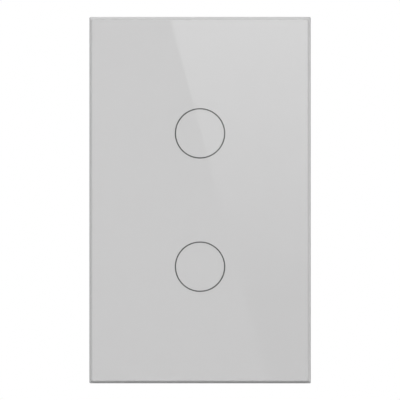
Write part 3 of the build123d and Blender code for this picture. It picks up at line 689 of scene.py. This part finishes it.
# Each slot's maker, material name, colour and further values, under what the finish gives the eye. A colour
# without # is one of the switch's own.
FINISHES = {
    # Clear, with the slanted sheen of the card mirrored in it.
    "glass": (toughened_glass, "toughened_glass", "#FAFDFB"),
    # The even light grey that fills the whole face.
    "panel_ink": (fired_ink, "fired_grey_ink", "ink"),
    # The dark thin lines that mark the two touch zones.
    "ring_ink": (fired_ink, "fired_ring_ink", "ring"),
    # A dull black line between the glass and its frame.
    "foam_tape": (foam_tape, "acrylic_foam_tape", "#1F1F20"),
    # Mid grey with a fine grain, so the rim keeps a soft, broad highlight.
    "frame_plastic": (moulded, "moulded_pc_abs_frame", "frame", 0.48, 0.25, 0.012),
    # Off-white and a little smoother than the frame.
    "cover_plastic": (moulded, "moulded_polycarbonate_cover", "cover", 0.42, 0.3, 0.01),
    # Milky white rings, in which the light from behind spreads.
    "light_guide": (frosted_polycarbonate, "frosted_polycarbonate", "#EEF1F2"),
    # Bright wire with a faint warm cast.
    "spring_steel": (metal, "nickel_plated_spring_wire", "#C9C8C4", 0.24, ACROSS, 0.002),
    # Glossy green with lighter tracks and silver pads.
    "touch_board": (laminate_board, "green_laminate_touch_board", "#17663B"),
    # Flat charcoal, duller than the other black plastics.
    "chip_black": (moulded, "moulded_epoxy_chip", "#1C1C1E", 0.55, 0.12, 0.006),
    # Pale yellow and wet-looking under its clear coat.
    "led_resin": (moulded, "clear_resin_lamp", "#E9E4B8", 0.2, 0.4, 0.002, 0.6),
    # Buff and matt, with short fibres that run one way.
    "insulation": (fibre_sheet, "vulcanised_fibre", "#CFC3A4"),
    # Near black, with the faint roughness of the glass fibre in it.
    "header_plastic": (moulded, "glass_filled_nylon_header", "#1E1E20", 0.5, 0.2, 0.01),
    # Warm, bright yellow, a sharp spark among dull plastics.
    "gold_pin": (metal, "gold_flashed_pin", "#D9B25E", 0.22, TURNED, 0.001),
    # Glossy blue, so the radio's board stands apart from the others.
    "radio_board": (laminate_board, "blue_laminate_radio_board", "#123F7A"),
    # Soft grey sheen, a little warmer than the zinc.
    "tin_plate": (metal, "tinned_sheet_shield", "#C4C5C3", 0.34, ALONG, 0.003, 0.05, 5),
    # Cool grey sheet with long rolling lines and slow patches from the plating.
    "strap_steel": (metal, "zinc_plated_sheet_steel", "#BDBFC2", 0.36, ALONG, 0.004, 0.07, 7),
    # Cool bright silver with rings round the head.
    "screw_zinc": (metal, "zinc_plated_screw", "#C7C8C9", 0.28, TURNED, 0.003, 0.05, 2),
    # Green film over metal: the highlight stays metallic, which marks the earth screw.
    "earth_green": (metal, "green_passivated_screw", "#3E8F5A", 0.34, TURNED, 0.003, 0.08, 2),
    # Charcoal with a coarse spark texture that greys its highlight.
    "housing_plastic": (moulded, "spark_eroded_polycarbonate", "housing", 0.5, 0.32, 0.02),
    # Satin silver that changes quickly with the angle.
    "label_foil": (metallised_film, "metallised_film", "#C9CACC"),
    # The same green laminate as the touch board.
    "power_board": (laminate_board, "green_laminate_power_board", "#17663B"),
    # Smooth saturated blue with a small bright highlight.
    "relay_case": (moulded, "blue_pbt_relay_case", "#1E5AA8", 0.3, 0.4, 0.006),
    # Black, with more shine than the chips.
    "relay_base": (moulded, "black_pbt_relay_base", "#222224", 0.45, 0.3, 0.008),
    # Orange-red and glossy, each turn with its own line of light.
    "coil_copper": (wound, "enamelled_copper_wire", "#C26A38", 0.12, 0.3, 1.0),
    # Satin, slightly warm grey along the length of the iron.
    "relay_iron": (metal, "nickel_plated_soft_iron", "#BFBEBA", 0.3, ALONG, 0.003),
    # Pinkish gold, browner than the brass.
    "contact_metal": (metal, "phosphor_bronze_strip", "#C99A63", 0.3, ALONG, 0.003),
    # Dark, stony grey with no real highlight.
    "ferrite": (moulded, "sintered_ferrite", "#3A3A3D", 0.6, 0.15, 0.02),
    # Brown-black and matt.
    "bobbin_plastic": (moulded, "phenolic_bobbin", "#232325", 0.5, 0.3, 0.01),
    # Smooth yellow tape, with a step at each lap.
    "winding_tape": (wound, "polyester_winding_tape", "#E3B93A", 0.35, 0.28, 0.0),
    # Dark blue film, tight and shiny over the can.
    "capacitor_sleeve": (moulded, "shrunk_pvc_sleeve", "#1D1F33", 0.3, 0.6, 0.006),
    # Deep yellow block with rounded, shiny edges.
    "film_yellow": (moulded, "yellow_moulded_film_capacitor", "#DBA92F", 0.3, 0.3, 0.006),
    # Dark brown, glossy on its rounded edges.
    "fuse_plastic": (moulded, "brown_moulded_fuse", "#4A2F22", 0.35, 0.3, 0.006),
    # Thick blue dip, uneven like orange peel.
    "varistor_blue": (moulded, "epoxy_dipped_varistor", "#2B62A8", 0.35, 0.8, 0.03),
    # Strong mid green, slightly waxy as nylon is.
    "terminal_plastic": (moulded, "moulded_nylon_terminal", "terminal", 0.42, 0.25, 0.012),
    # Yellow metal with rolling lines.
    "busbar_brass": (metal, "bare_brass_busbar", "#D0A85C", 0.3, ALONG, 0.003),
    # Cool grey, a little duller than the screw heads.
    "cage_steel": (metal, "zinc_plated_cage", "#C2C3C4", 0.34, ACROSS, 0.004),
}


def own_colour(name):
    """One of the switch's own colours, as a user may have changed it."""
    return tuple(getattr(bpy.context.scene.switch_colours, name))


def finish(slot):
    """The finish of a material slot, made once."""
    if slot not in finishes:
        maker, name, colour, *values = FINISHES[slot]
        finishes[slot] = maker(name, linear(colour) if colour[0] == "#" else own_colour(colour), *values)
    return finishes[slot]


# Operators, one for each piece or group of like pieces


class SwitchOperator:
    """What the operators share: each makes its pieces to the sizes that the scene holds"""

    bl_options = {"REGISTER", "UNDO"}

    def execute(self, context):
        self.make(context.scene.switch_sizes)
        return {"FINISHED"}


class SWITCH_OT_glass_panel(SwitchOperator, bpy.types.Operator):
    """Model the glass: corners, ground front bevel, seamed back and softened arrises"""

    bl_idname = "switch.glass_panel"
    bl_label = "Glass panel"

    def make(self, sizes):
        low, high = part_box("glass_panel")
        high = high - Vector((0, sizes.print_gap, 0))
        glass = box_piece("glass_slab", low, high)
        bevel(glass, lambda a, b: max(a.y, b.y) < low.y + NEAR, sizes.glass_chamfer, 3)
        bevel(glass, lambda a, b: min(a.y, b.y) > high.y - NEAR, sizes.glass_seam)

        def at_corner(*ends):
            """Both ends of a short edge lie where the sides meet."""
            mitred = [abs(high.x - abs(end.x) - high.z + abs(end.z)) < NEAR for end in ends]
            return all(mitred) and (ends[0] - ends[1]).length < high.y - low.y

        bevel(glass, at_corner, sizes.glass_corner, 3)
        soften(glass, sizes.arris)
        dress(glass, "glass_panel")
        glass.data.materials.append(ground_edge("ground_glass_edge", own_colour("edge")))
        second_finish(glass, lambda c, n: abs(n.y) <= FLAT)


class SWITCH_OT_moulded_shells(SwitchOperator, bpy.types.Operator):
    """Round the edges of the moulded frame, cover, housing, light guides and terminal blocks"""

    bl_idname = "switch.moulded_shells"
    bl_label = "Moulded shells"

    def make(self, sizes):
        shells = {
            "panel_frame": "panel_carrier",
            "front_cover": "touch_cover",
            "light_guides": "light_rings",
            "rear_housing": "wall_box_housing",
            "terminal_body": "terminal_blocks",
            "header_strip": "pin_header",
            "socket_strip": "pin_socket",
            "transformer_bobbin": "winding_bobbin",
            "transformer_core": "ferrite_core",
            "choke": "drum_choke",
            "relay_1_case": "relay_cover_1",
            "relay_2_case": "relay_cover_2",
        }
        softened(shells, sizes.moulded_edge)


class SWITCH_OT_sheet_metal(SwitchOperator, bpy.types.Operator):
    """Round the edges of the stamped strap, shield, cages and busbars"""

    bl_idname = "switch.sheet_metal"
    bl_label = "Sheet metal"

    def make(self, sizes):
        sheets = {
            "mounting_strap": "wall_strap",
            "radio_shield": "shield_can",
            "terminal_busbars": "busbar_set",
            **{f"terminal_cage_{number}": f"clamp_cage_{number}" for number in TERMINALS},
        }
        softened(sheets, sizes.stamped_edge)


class SWITCH_OT_thin_layers(SwitchOperator, bpy.types.Operator):
    """Round the edges of the printed layers, the bonding tape, the insulator and the circuit boards"""

    bl_idname = "switch.thin_layers"
    bl_label = "Thin layers"

    def make(self, sizes):
        softened({"back_print": "grey_print", "ring_print": "ring_lines"}, sizes.print_edge)
        sheets = {
            "panel_tape": "bonding_tape",
            "insulation_sheet": "fibre_insulator",
            "touch_board": "touch_circuit_board",
            "radio_board": "radio_circuit_board",
            "power_board": "power_circuit_board",
            "header_pins": "gold_pins",
        }
        softened(sheets, sizes.sheet_edge)


class SWITCH_OT_touch_springs(SwitchOperator, bpy.types.Operator):
    """Wind the two springs between the touch board and the glass"""

    bl_idname = "switch.touch_springs"
    bl_label = "Touch springs"

    def make(self, sizes):
        wire = sizes.spring_wire / 2
        for number in (1, 2):
            low, high, middle, radius = span(f"touch_spring_{number}")
            rise = high.y - low.y - 2 * wire
            deselect()
            bpy.ops.mesh.primitive_circle_add(vertices=14, radius=wire, location=(radius * MM - wire, 0, 0))
            spring = named(f"touch_coil_{number}")
            apply_modifier(
                spring, "SCREW", axis="Y", angle=math.pi, screw_offset=rise / sizes.spring_half_turns,
                iterations=sizes.spring_half_turns, steps=40, render_steps=40,
                use_merge_vertices=True, merge_threshold=MERGED,
            )
            edit_all(spring)
            bpy.ops.mesh.fill_holes(sides=0)
            bpy.ops.transform.translate(value=(middle.x, low.y + wire, middle.z))
            leave_edit()
            face_outwards(spring)
            smooth(spring)
            dress(spring, f"touch_spring_{number}")


class SWITCH_OT_wall_screws(SwitchOperator, bpy.types.Operator):
    """Turn the two oval-headed wall screws and wind their threads"""

    bl_idname = "switch.wall_screws"
    bl_label = "Wall screws"

    def make(self, sizes):
        low, high, _, radius = span("wall_screws")
        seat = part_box("mounting_strap")[0].y / MM
        core, crest, neck, neck_end = 1.38, 1.74, 1.5, 0.5
        crown = [(radius * share, low.y / MM + drop) for share, drop in OVAL_CROWN]
        steps = [*crown, (radius, seat), (neck, seat), (neck, neck_end)]
        steps += [(core * STUB, neck_end), (core * STUB, neck_end + STUB_LENGTH)]
        pair = []
        for z in (low.z + radius * MM, high.z - radius * MM):
            place = Vector((0, 0, z))
            screw = turned("wall_screw_pair", steps, place)
            slotted(screw, place, low.y, -1, sizes.drive_width, sizes.drive_depth, radius * 1.2 * MM)
            threaded(screw, place, core, crest, sizes.wall_thread, neck_end - 0.1, high.y)
            pair.append(screw)
        screws = joined(pair)
        smooth(screws)
        # The slot's second finish is painted shade, darker than the head.
        dress(screws, "wall_screws", shadowed_drive("dull_zinc_wall_drive", "#7C7D7F"))


class SWITCH_OT_housing_screws(SwitchOperator, bpy.types.Operator):
    """Turn the four pan-headed screws that hold the housing, with cross drives and tapping threads"""

    bl_idname = "switch.housing_screws"
    bl_label = "Housing screws"

    def make(self, sizes):
        low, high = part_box("housing_screws")
        core, crest, radius = 0.85, 1.19, HOUSING_SCREW_HEAD
        face = high.y / MM
        seat = face - HOUSING_SCREW_UNDER
        crown = [(radius * share, face - drop) for share, drop in reversed(PAN_CROWN)]
        steps = [(core * STUB, seat - 1), (core * STUB, seat), (radius, seat), *crown]
        four = []
        for x in (low.x + radius * MM, high.x - radius * MM):
            for z in (low.z + radius * MM, high.z - radius * MM):
                place = Vector((x, 0, z))
                screw = turned("housing_screw_set", steps, place, 48)
                width = sizes.drive_width * CROSS_WIDTH
                slotted(screw, place, high.y, 1, width, sizes.drive_depth, radius * 0.6 * MM, both=True)
                pitch = sizes.tapping_thread
                threaded(screw, place, core, crest, pitch, seat + 0.1, low.y, lead=1.6, point=0.3)
                four.append(screw)
        screws = joined(four)
        smooth(screws)
        # The cross's second finish is painted shade, darker than the head.
        dress(screws, "housing_screws", shadowed_drive("dull_zinc_cross_drive", "#343536"))


class SWITCH_OT_terminal_screws(SwitchOperator, bpy.types.Operator):
    """Turn the four slotted terminal screws"""

    bl_idname = "switch.terminal_screws"
    bl_label = "Terminal screws"

    def make(self, sizes):
        core, crest = 1.22, 1.49
        # The slots' second finish is painted shade, darker than the heads.
        drive = shadowed_drive("dull_zinc_terminal_drive", "#6C6D6F")
        for number in TERMINALS:
            low, high, middle, radius = span(f"terminal_screw_{number}")
            face = high.y / MM
            seat = face - TERMINAL_SCREW_UNDER
            crown = [(radius * share, face - drop) for share, drop in CHEESE_CROWN]
            steps = [(core * STUB, seat - 1), (core * STUB, seat), (radius, seat), *crown]
            screw = turned(f"clamp_screw_{number}", steps, middle)
            slotted(screw, middle, high.y, 1, sizes.drive_width, sizes.drive_depth, radius * 1.1 * MM)
            threaded(screw, middle, core, crest, sizes.terminal_thread, seat + 0.1, low.y, lead=0.4)
            smooth(screw)
            dress(screw, f"terminal_screw_{number}", drive)


class SWITCH_OT_earth_screw(SwitchOperator, bpy.types.Operator):
    """Shape the green hexagon-headed earth screw with its collar"""

    bl_idname = "switch.earth_screw"
    bl_label = "Earth screw"

    def make(self, sizes):
        low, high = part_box("earth_screw")
        middle = (low + high) / 2
        flats, corners = sorted(((high.x - low.x) / 2 / MM, (high.z - low.z) / 2 / MM))
        face = high.y / MM
        core, crest, collar, pitch = 1.3, 1.59, 0.5, 0.6
        head = turned("earth_terminal_screw", [(corners, 0.4), (corners, face + 0.5)], middle, 6)
        turn_about(head, math.pi / 6, "Y", middle)
        dome = [(flats * 1.16, 0.3), (flats * 1.16, face - 0.35), (flats * 0.98, face)]
        cut(head, turned("crown", dome, middle), "INTERSECT")
        steps = [(core * STUB, -0.6), (core * STUB, 0)]
        steps += [(flats, 0), (flats, collar - 0.1), (flats * 0.96, collar)]
        cut(head, turned("collar", steps, middle), "UNION")
        threaded(head, middle, core, crest, pitch * MM, 0.1, low.y, lead=0.5)
        slotted(head, middle, high.y, 1, sizes.drive_width, sizes.drive_depth, corners * 1.2 * MM)
        smooth(head)
        # The slot's second finish is painted shade, a darker green than the head.
        dress(head, "earth_screw", shadowed_drive("dull_green_drive", "#235537"))


class SWITCH_OT_relay_works(SwitchOperator, bpy.types.Operator):
    """Round the relays' bobbins, yokes, armatures and contact strips"""

    bl_idname = "switch.relay_works"
    bl_label = "Relay works"

    def make(self, sizes):
        works = {"base": "bobbin", "yoke": "iron", "armature": "lever", "contact": "strip"}
        for number in (1, 2):
            pieces = {f"relay_{number}_{part}": f"relay_{name}_{number}" for part, name in works.items()}
            softened(pieces, sizes.sheet_edge)


class SWITCH_OT_windings(SwitchOperator, bpy.types.Operator):
    """Wind the relay coils turn by turn, and tape the transformer's winding"""

    bl_idname = "switch.windings"
    bl_label = "Windings"

    def make(self, sizes):
        for number in (1, 2):
            coil, name = f"relay_{number}_coil", f"relay_winding_{number}"
            self.wind(coil, name, sizes.coil_wire, bore=2.0, groove=0.12)
        self.wind("transformer_winding", "taped_winding", sizes.tape_width, bore=3.1, groove=0.06)

    def wind(self, node, name, width, bore, groove):
        """A hollow coil: its bore's radius and the depth of the groove between turns are in millimetres."""
        low, high, middle, radius = span(node)
        turns = round((high.y - low.y) / width)
        pitch = (high.y - low.y) / turns / MM
        steps = [
            (radius - inset * groove, low.y / MM + (turn + share) * pitch)
            for turn in range(turns)
            for share, inset in TURN_OUTLINE
        ]
        coil = turned(name, [*steps, (radius - groove, high.y / MM)], middle)
        cut(coil, turned("bore", [(bore, low.y / MM - 1), (bore, high.y / MM + 1)], middle))
        smooth(coil)
        dress(coil, node)


class SWITCH_OT_capacitors(SwitchOperator, bpy.types.Operator):
    """Turn the two sleeved cans, crimped at the foot and scored on their bare tops"""

    bl_idname = "switch.capacitors"
    bl_label = "Capacitors"

    def make(self, sizes):
        bare = drawn_can()
        for place in ("input", "output"):
            low, high, middle, radius = span(f"{place}_capacitor")
            foot, top = low.y / MM, high.y / MM
            steps = [(radius - inset, foot + rise) for inset, rise in CAN_FOOT]
            steps += [(radius - inset, top - drop) for inset, drop in CAN_TOP]
            rim, disc = radius - CAN_TOP[-1][0], top - CAN_TOP[-1][1]
            can = turned(f"{place}_can", steps, middle)
            slotted(can, middle, disc * MM, 1, SCORE_WIDTH * MM, SCORE_DEPTH * MM, rim * 0.7 * MM, both=True)
            smooth(can)
            dress(can, f"{place}_capacitor", bare)

            def on_top(c, n):
                across = math.hypot(c.x - middle.x, c.z - middle.z)
                return c.y > (disc - 2 * SCORE_DEPTH) * MM and across < rim * MM

            second_finish(can, on_top)


class SWITCH_OT_board_parts(SwitchOperator, bpy.types.Operator):
    """Shape the blocks, chips, lamps and the varistor, and bend the legs of the chips"""

    bl_idname = "switch.board_parts"
    bl_label = "Board parts"

    def make(self, sizes):
        softened({"film_capacitor": "film_block", "fuse": "fuse_block"}, sizes.block_edge, 3)
        softened({"indicator_leds": "zone_lamps"}, sizes.sheet_edge)
        for node, name, out in (
            ("touch_chip", "touch_sensor_chip", -1),
            ("power_chip", "power_control_chip", 1),
            ("rectifier", "bridge_rectifier", 1),
        ):
            low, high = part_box(node)
            face = (high.y if out > 0 else low.y) / MM
            chip = copied(node, name)
            mark = [(CHIP_MARK, face - out * CHIP_MARK / 2), (CHIP_MARK, face + out)]
            corner = Vector((low.x + 3 * CHIP_MARK * MM, 0, high.z - 3 * CHIP_MARK * MM))
            cut(chip, turned("mark", mark, corner, 24))
            soften(chip, sizes.sheet_edge)
            dress(chip, node)
        self.bend_legs("power_chip", "power_chip_legs", count=4, pitch=1.27, width=0.42)
        self.bend_legs("rectifier", "rectifier_legs", count=2, pitch=4.0, width=1.0)
        self.dip_varistor()

    def bend_legs(self, node, name, count, pitch, width):
        """Legs along both long sides of a chip: one is drawn from chip to board, the rest are its copies."""
        low, high, middle, _ = span(node)
        root = (0, LEG_RISE * MM, high.z - middle.z - LEG_ROOT * MM)
        deselect()
        bpy.ops.mesh.primitive_plane_add(size=MM, location=root, scale=(width, LEG_THICKNESS, 1))
        leg = named(name)
        edit_all(leg)
        for drop, reach in LEG_BENDS:
            bpy.ops.mesh.extrude_region_move(TRANSFORM_OT_translate={"value": (0, drop * MM, reach * MM)})
        leave_edit()
        face_outwards(leg)
        foot = Vector((middle.x, low.y, middle.z))
        legs = []
        for way in (1, -1):
            for place in range(count):
                shift = foot + Vector(((place - (count - 1) / 2) * pitch * MM, 0, 0))
                copy = linked(name, leg.data.copy())
                for corner in copy.data.vertices:
                    corner.co = Vector((way * corner.co.x, corner.co.y, way * corner.co.z)) + shift
                legs.append(copy)
        bpy.data.objects.remove(leg)
        row = joined(legs)
        row.name = name
        soften(row, LEG_EDGE * MM)
        finished(row, "tin_plate", frame["nodes"][node]["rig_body"])

    def dip_varistor(self):
        """A disc dipped in epoxy, thick in the middle and round at its edge, laid on its side."""
        low, high, middle, radius = span("varistor")
        thick = (high.z - low.z) / MM
        near, far = middle.y / MM - thick / 2, middle.y / MM + thick / 2
        steps = [(radius * share, near + inset * thick) for share, inset in DISC_OUTLINE]
        steps += [(radius * share, far - inset * thick) for share, inset in reversed(DISC_OUTLINE)]
        disc = turned("dipped_varistor", steps, middle)
        turn_about(disc, math.pi / 2, "X", middle)
        smooth(disc)
        dress(disc, "varistor")


class SWITCH_OT_rear_label(SwitchOperator, bpy.types.Operator):
    """Rule the blank label: a printed border, three lines and a divider, with nothing written in them"""

    bl_idname = "switch.rear_label"
    bl_label = "Rear label"

    def make(self, sizes):
        low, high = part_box("rear_label")
        middle = (low + high) / 2
        label = copied("rear_label", "blank_label")
        pick(label, "polygons", lambda c, n: n.y > FACING)
        bpy.ops.mesh.inset(thickness=LABEL_MARGIN * MM)
        bpy.ops.mesh.inset(thickness=LABEL_LINE * MM)
        leave_edit()
        half = LABEL_LINE / 2
        reach = (high - low) / 2 / MM

        def depth_inside(c):
            return min(reach.x - abs(c.x - middle.x) / MM, reach.z - abs(c.z - middle.z) / MM) - LABEL_MARGIN

        cuts = [((0, 0, rule + way * half), (0, 0, 1)) for rule in LABEL_RULES for way in (-1, 1)]
        cuts += [((LABEL_DIVIDER + way * half, 0, 0), (1, 0, 0)) for way in (-1, 1)]
        for place, normal in cuts:
            pick(label, "polygons", lambda c, n: n.y > FACING and depth_inside(c) > LABEL_LINE)
            bpy.ops.mesh.bisect(plane_co=Vector(place) * MM, plane_no=normal, threshold=MERGED)
            leave_edit()
        soften(label, sizes.print_edge)
        dress(label, "rear_label", fired_ink("label_print", linear("#3C3E41")))

        def ruled(c, n):
            x, z = c.x / MM, c.z / MM
            line = any(abs(z - rule) < half for rule in LABEL_RULES)
            divider = abs(x - LABEL_DIVIDER) < half and z < LABEL_RULES[0]
            inside = depth_inside(c)
            return n.y > FACING and inside > 0 and (inside < LABEL_LINE or line or divider)

        second_finish(label, ruled)


class SWITCH_OT_terminal_numbers(SwitchOperator, bpy.types.Operator):
    """Raise a plain number above each terminal screw"""

    bl_idname = "switch.terminal_numbers"
    bl_label = "Terminal numbers"

    def make(self, sizes):
        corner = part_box("terminal_body")[1]
        numbers = []
        for number in TERMINALS:
            near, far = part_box(f"terminal_screw_{number}")
            foot = ((near.x + far.x) / 2, corner.y, (far.z + corner.z - sizes.number_height) / 2)
            deselect()
            bpy.ops.object.text_add(location=foot, rotation=(math.pi / 2, 0, math.pi))
            digit = bpy.context.object.data
            digit.body = str(number)
            digit.align_x = "CENTER"
            digit.size = sizes.number_height * DIGIT_SIZE
            digit.extrude = sizes.number_relief
            bpy.ops.object.convert(target="MESH")
            numbers.append(named("terminal_numbers"))
        row = joined(numbers)
        face_outwards(row)
        white = fired_ink("white_hot_stamped_foil", linear("#E8E9E6"))
        finished(row, "terminal_plastic", frame["nodes"]["terminal_body"]["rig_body"], white)
        second_finish(row, lambda c, n: n.y > FACING)


# Studio

# The photograph's view: angles in degrees, a long lens in millimetres, and the scale of the panel's face.
CAMERA_AZIMUTH = 0.3
CAMERA_ELEVATION = -0.3
LENS = 300
IMAGE_WIDTH = 400
PIXELS_PER_MM = 3.064

# The floor in millimetres: its drop, its radius, and the distances between which it fades to white.
FLOOR_DROP = 300
FLOOR_RADIUS = 3000
FLOOR_FADE = (500, 1500)

# The strength of the world where it lights dull surfaces, the width of the lamps in metres, and each lamp's
# place in metres and power in watts.
WORLD_FILL = 0.5
LAMP_SIZE = 1.3
LAMPS = {
    "key_lamp": ((-0.9, -1.35, 1.15), 25.4),
    "fill_lamp": ((1.0, -1.3, 0.4), 10.8),
    "back_lamp": ((-0.8, 1.4, 0.9), 22.0),
    "back_fill_lamp": ((1.3, 0.9, 0.4), 12.0),
}

# The card that the glass mirrors, in millimetres: how far it hangs in front of the face, how far it reaches to
# the right of the sheen's slanted edge, that edge's top and low point on the face, and the height where it
# fades.
CARD_DISTANCE = 600
CARD_REACH = 250
SHEEN_TOP = Vector((-9.9, 0, 59.9))
SHEEN_LOW = Vector((22.4, 0, -59.9))
SHEEN_FADE = -32.6

# How far the card goes past the edge's ends, as a share of its length, and its strengths at the top and below.
CARD_OVERHANG = 0.2
CARD_BRIGHT = 1.75
CARD_DIM = 0.8


def direct_sight(tree):
    """1 for rays from the camera, from mirrors and through glass, and 0 for those that light dull surfaces."""
    path = add(tree, "LightPath").outputs
    seen = path["Is Camera Ray"]
    for ray in ("Is Glossy Ray", "Is Transmission Ray"):
        seen = add(tree, "Math", {"operation": "MAXIMUM"}, {0: seen, 1: path[ray]}).outputs[0]
    return seen


def studio_world():
    """White to the eye, in mirrors and through glass, and a softer fill for dull surfaces."""
    world = bpy.data.worlds.new("studio")
    world.use_nodes = True
    tree = world.node_tree
    tree.nodes.clear()
    limits = {"To Min": WORLD_FILL, "To Max": 1.0}
    strength = add(tree, "MapRange", limits, {"Value": direct_sight(tree)}).outputs[0]
    sky = add(tree, "Background", {"Color": WHITE}, {"Strength": strength})
    add(tree, "OutputWorld", links={"Surface": sky.outputs[0]})
    bpy.context.scene.world = world


def floor_paint(colour, bounce):
    """Matt floor paint that fades to the white of the backdrop, and gives dull surfaces only a soft bounce."""
    material, tree, place = begin("floor_paint")
    distance = add(tree, "VectorMath", {"operation": "LENGTH"}, {0: place}).outputs["Value"]
    limits = {"From Min": FLOOR_FADE[0], "From Max": FLOOR_FADE[1]}
    fade = add(tree, "MapRange", limits, {"Value": distance}).outputs[0]
    dull = add(tree, "BsdfDiffuse", {"Color": colour}).outputs[0]
    white = add(tree, "Emission", {"Color": WHITE}).outputs[0]
    seen = add(tree, "MixShader", links={0: fade, 1: dull, 2: white}).outputs[0]
    soft = add(tree, "BsdfDiffuse", {"Color": bounce}).outputs[0]
    return end(material, add(tree, "MixShader", links={0: direct_sight(tree), 1: soft, 2: seen}))


def card_light(low, high):
    """A soft card that the glass mirrors: brighter towards its top, between two heights in millimetres."""
    material, tree, place = begin("mirrored_card")
    height = add(tree, "SeparateXYZ", links={0: place}).outputs["Z"]
    limits = {"From Min": low, "From Max": high, "To Min": CARD_DIM, "To Max": CARD_BRIGHT}
    strength = add(tree, "MapRange", limits, {"Value": height}).outputs[0]
    return end(material, add(tree, "Emission", {"Color": WHITE}, {"Strength": strength}))


def hang_lamp(name, place, watts):
    """A soft square lamp that looks at the object."""
    light = bpy.data.lights.new(name, "AREA")
    light.energy = watts
    light.size = LAMP_SIZE
    lamp = linked(name, light)
    lamp.location = place
    lamp.rotation_euler = (-Vector(place)).to_track_quat("-Z", "Y").to_euler()
    lamp.visible_camera = False


class SWITCH_OT_stage(SwitchOperator, bpy.types.Operator):
    """Set the floor, the lamps, the card that the glass mirrors, and the camera"""

    bl_idname = "switch.stage"
    bl_label = "Stage"

    def make(self, sizes):
        scene = bpy.context.scene
        scene.view_settings.view_transform = "Standard"
        studio_world()
        deselect()
        bpy.ops.mesh.primitive_circle_add(
            vertices=96, radius=FLOOR_RADIUS * MM, fill_type="NGON", location=(0, 0, -FLOOR_DROP * MM)
        )
        floor = named("studio_floor")
        floor.data.materials.append(floor_paint(own_colour("floor"), own_colour("bounce")))
        for name, (place, watts) in LAMPS.items():
            hang_lamp(name, place, watts)
        self.hang_card(self.place_camera(scene))

    def place_camera(self, scene):
        """Look at the panel from the photograph's angle, and give the camera's place."""
        camera_data = bpy.data.cameras.new("photo_camera")
        camera_data.lens = LENS
        camera = linked("photo_camera", camera_data)
        azimuth = math.radians(CAMERA_AZIMUTH)
        elevation = math.radians(CAMERA_ELEVATION)
        back = Vector((math.sin(azimuth), -math.cos(azimuth), 0)) * math.cos(elevation)
        back.z = math.sin(elevation)
        distance = IMAGE_WIDTH * LENS / (camera_data.sensor_width * PIXELS_PER_MM) * MM
        camera.location = Vector((0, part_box("glass_panel")[0].y, 0)) + back * distance
        camera.rotation_euler = (-back).to_track_quat("-Z", "Y").to_euler()
        scene.camera = camera
        return camera.location

    def hang_card(self, eye):
        """Hang the card where the glass mirrors it to the eye along the sheen's slanted edge."""
        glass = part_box("glass_panel")[0].y
        reach = CARD_DISTANCE * MM / (glass - eye.y)

        def mirrored(place):
            point = place * MM
            point.y = glass
            point = point + (point - eye) * reach
            point.y = glass - CARD_DISTANCE * MM
            return point

        top, low = mirrored(SHEEN_TOP), mirrored(SHEEN_LOW)
        deselect()
        bpy.ops.mesh.primitive_plane_add(size=1, location=(top + low) / 2, rotation=(math.pi / 2, 0, 0))
        card = named("mirrored_card")
        for corner in card.data.vertices:
            upper = corner.co.z > (top.z + low.z) / 2
            side = CARD_REACH * MM if corner.co.x > (top.x + low.x) / 2 else 0
            past = (top - low) * (CARD_OVERHANG if upper else -CARD_OVERHANG)
            corner.co = (top if upper else low) + past + Vector((side, 0, 0))
        fade = mirrored(Vector((0, 0, SHEEN_FADE)))
        card.data.materials.append(card_light(fade.z / MM, top.z / MM))
        card.visible_camera = card.visible_diffuse = card.visible_shadow = False


OPERATORS = (
    SWITCH_OT_glass_panel,
    SWITCH_OT_moulded_shells,
    SWITCH_OT_sheet_metal,
    SWITCH_OT_thin_layers,
    SWITCH_OT_touch_springs,
    SWITCH_OT_wall_screws,
    SWITCH_OT_housing_screws,
    SWITCH_OT_terminal_screws,
    SWITCH_OT_earth_screw,
    SWITCH_OT_relay_works,
    SWITCH_OT_windings,
    SWITCH_OT_capacitors,
    SWITCH_OT_board_parts,
    SWITCH_OT_rear_label,
    SWITCH_OT_terminal_numbers,
    SWITCH_OT_stage,
)


class SWITCH_PT_panel(bpy.types.Panel):
    """Lists the switch's pieces and their sizes and colours"""

    bl_idname = "SWITCH_PT_panel"
    bl_label = "Touch switch"
    bl_space_type = "VIEW_3D"
    bl_region_type = "UI"
    bl_category = "Touch switch"

    def draw(self, context):
        for operator in OPERATORS:
            self.layout.operator(operator.bl_idname)
        for group in (context.scene.switch_sizes, context.scene.switch_colours):
            for key in group.__annotations__:
                self.layout.prop(group, key)


CLASSES = (SwitchSizes, SwitchColours, *OPERATORS, SWITCH_PT_panel)


def register():
    for cls in CLASSES:
        bpy.utils.register_class(cls)
    bpy.types.Scene.switch_sizes = PointerProperty(type=SwitchSizes)
    bpy.types.Scene.switch_colours = PointerProperty(type=SwitchColours)


def unregister():
    del bpy.types.Scene.switch_colours
    del bpy.types.Scene.switch_sizes
    for cls in reversed(CLASSES):
        bpy.utils.unregister_class(cls)


def main():
    register()
    for operator in OPERATORS:
        group, name = operator.bl_idname.split(".")
        getattr(getattr(bpy.ops, group), name)()


if __name__ == "__main__":
    main()
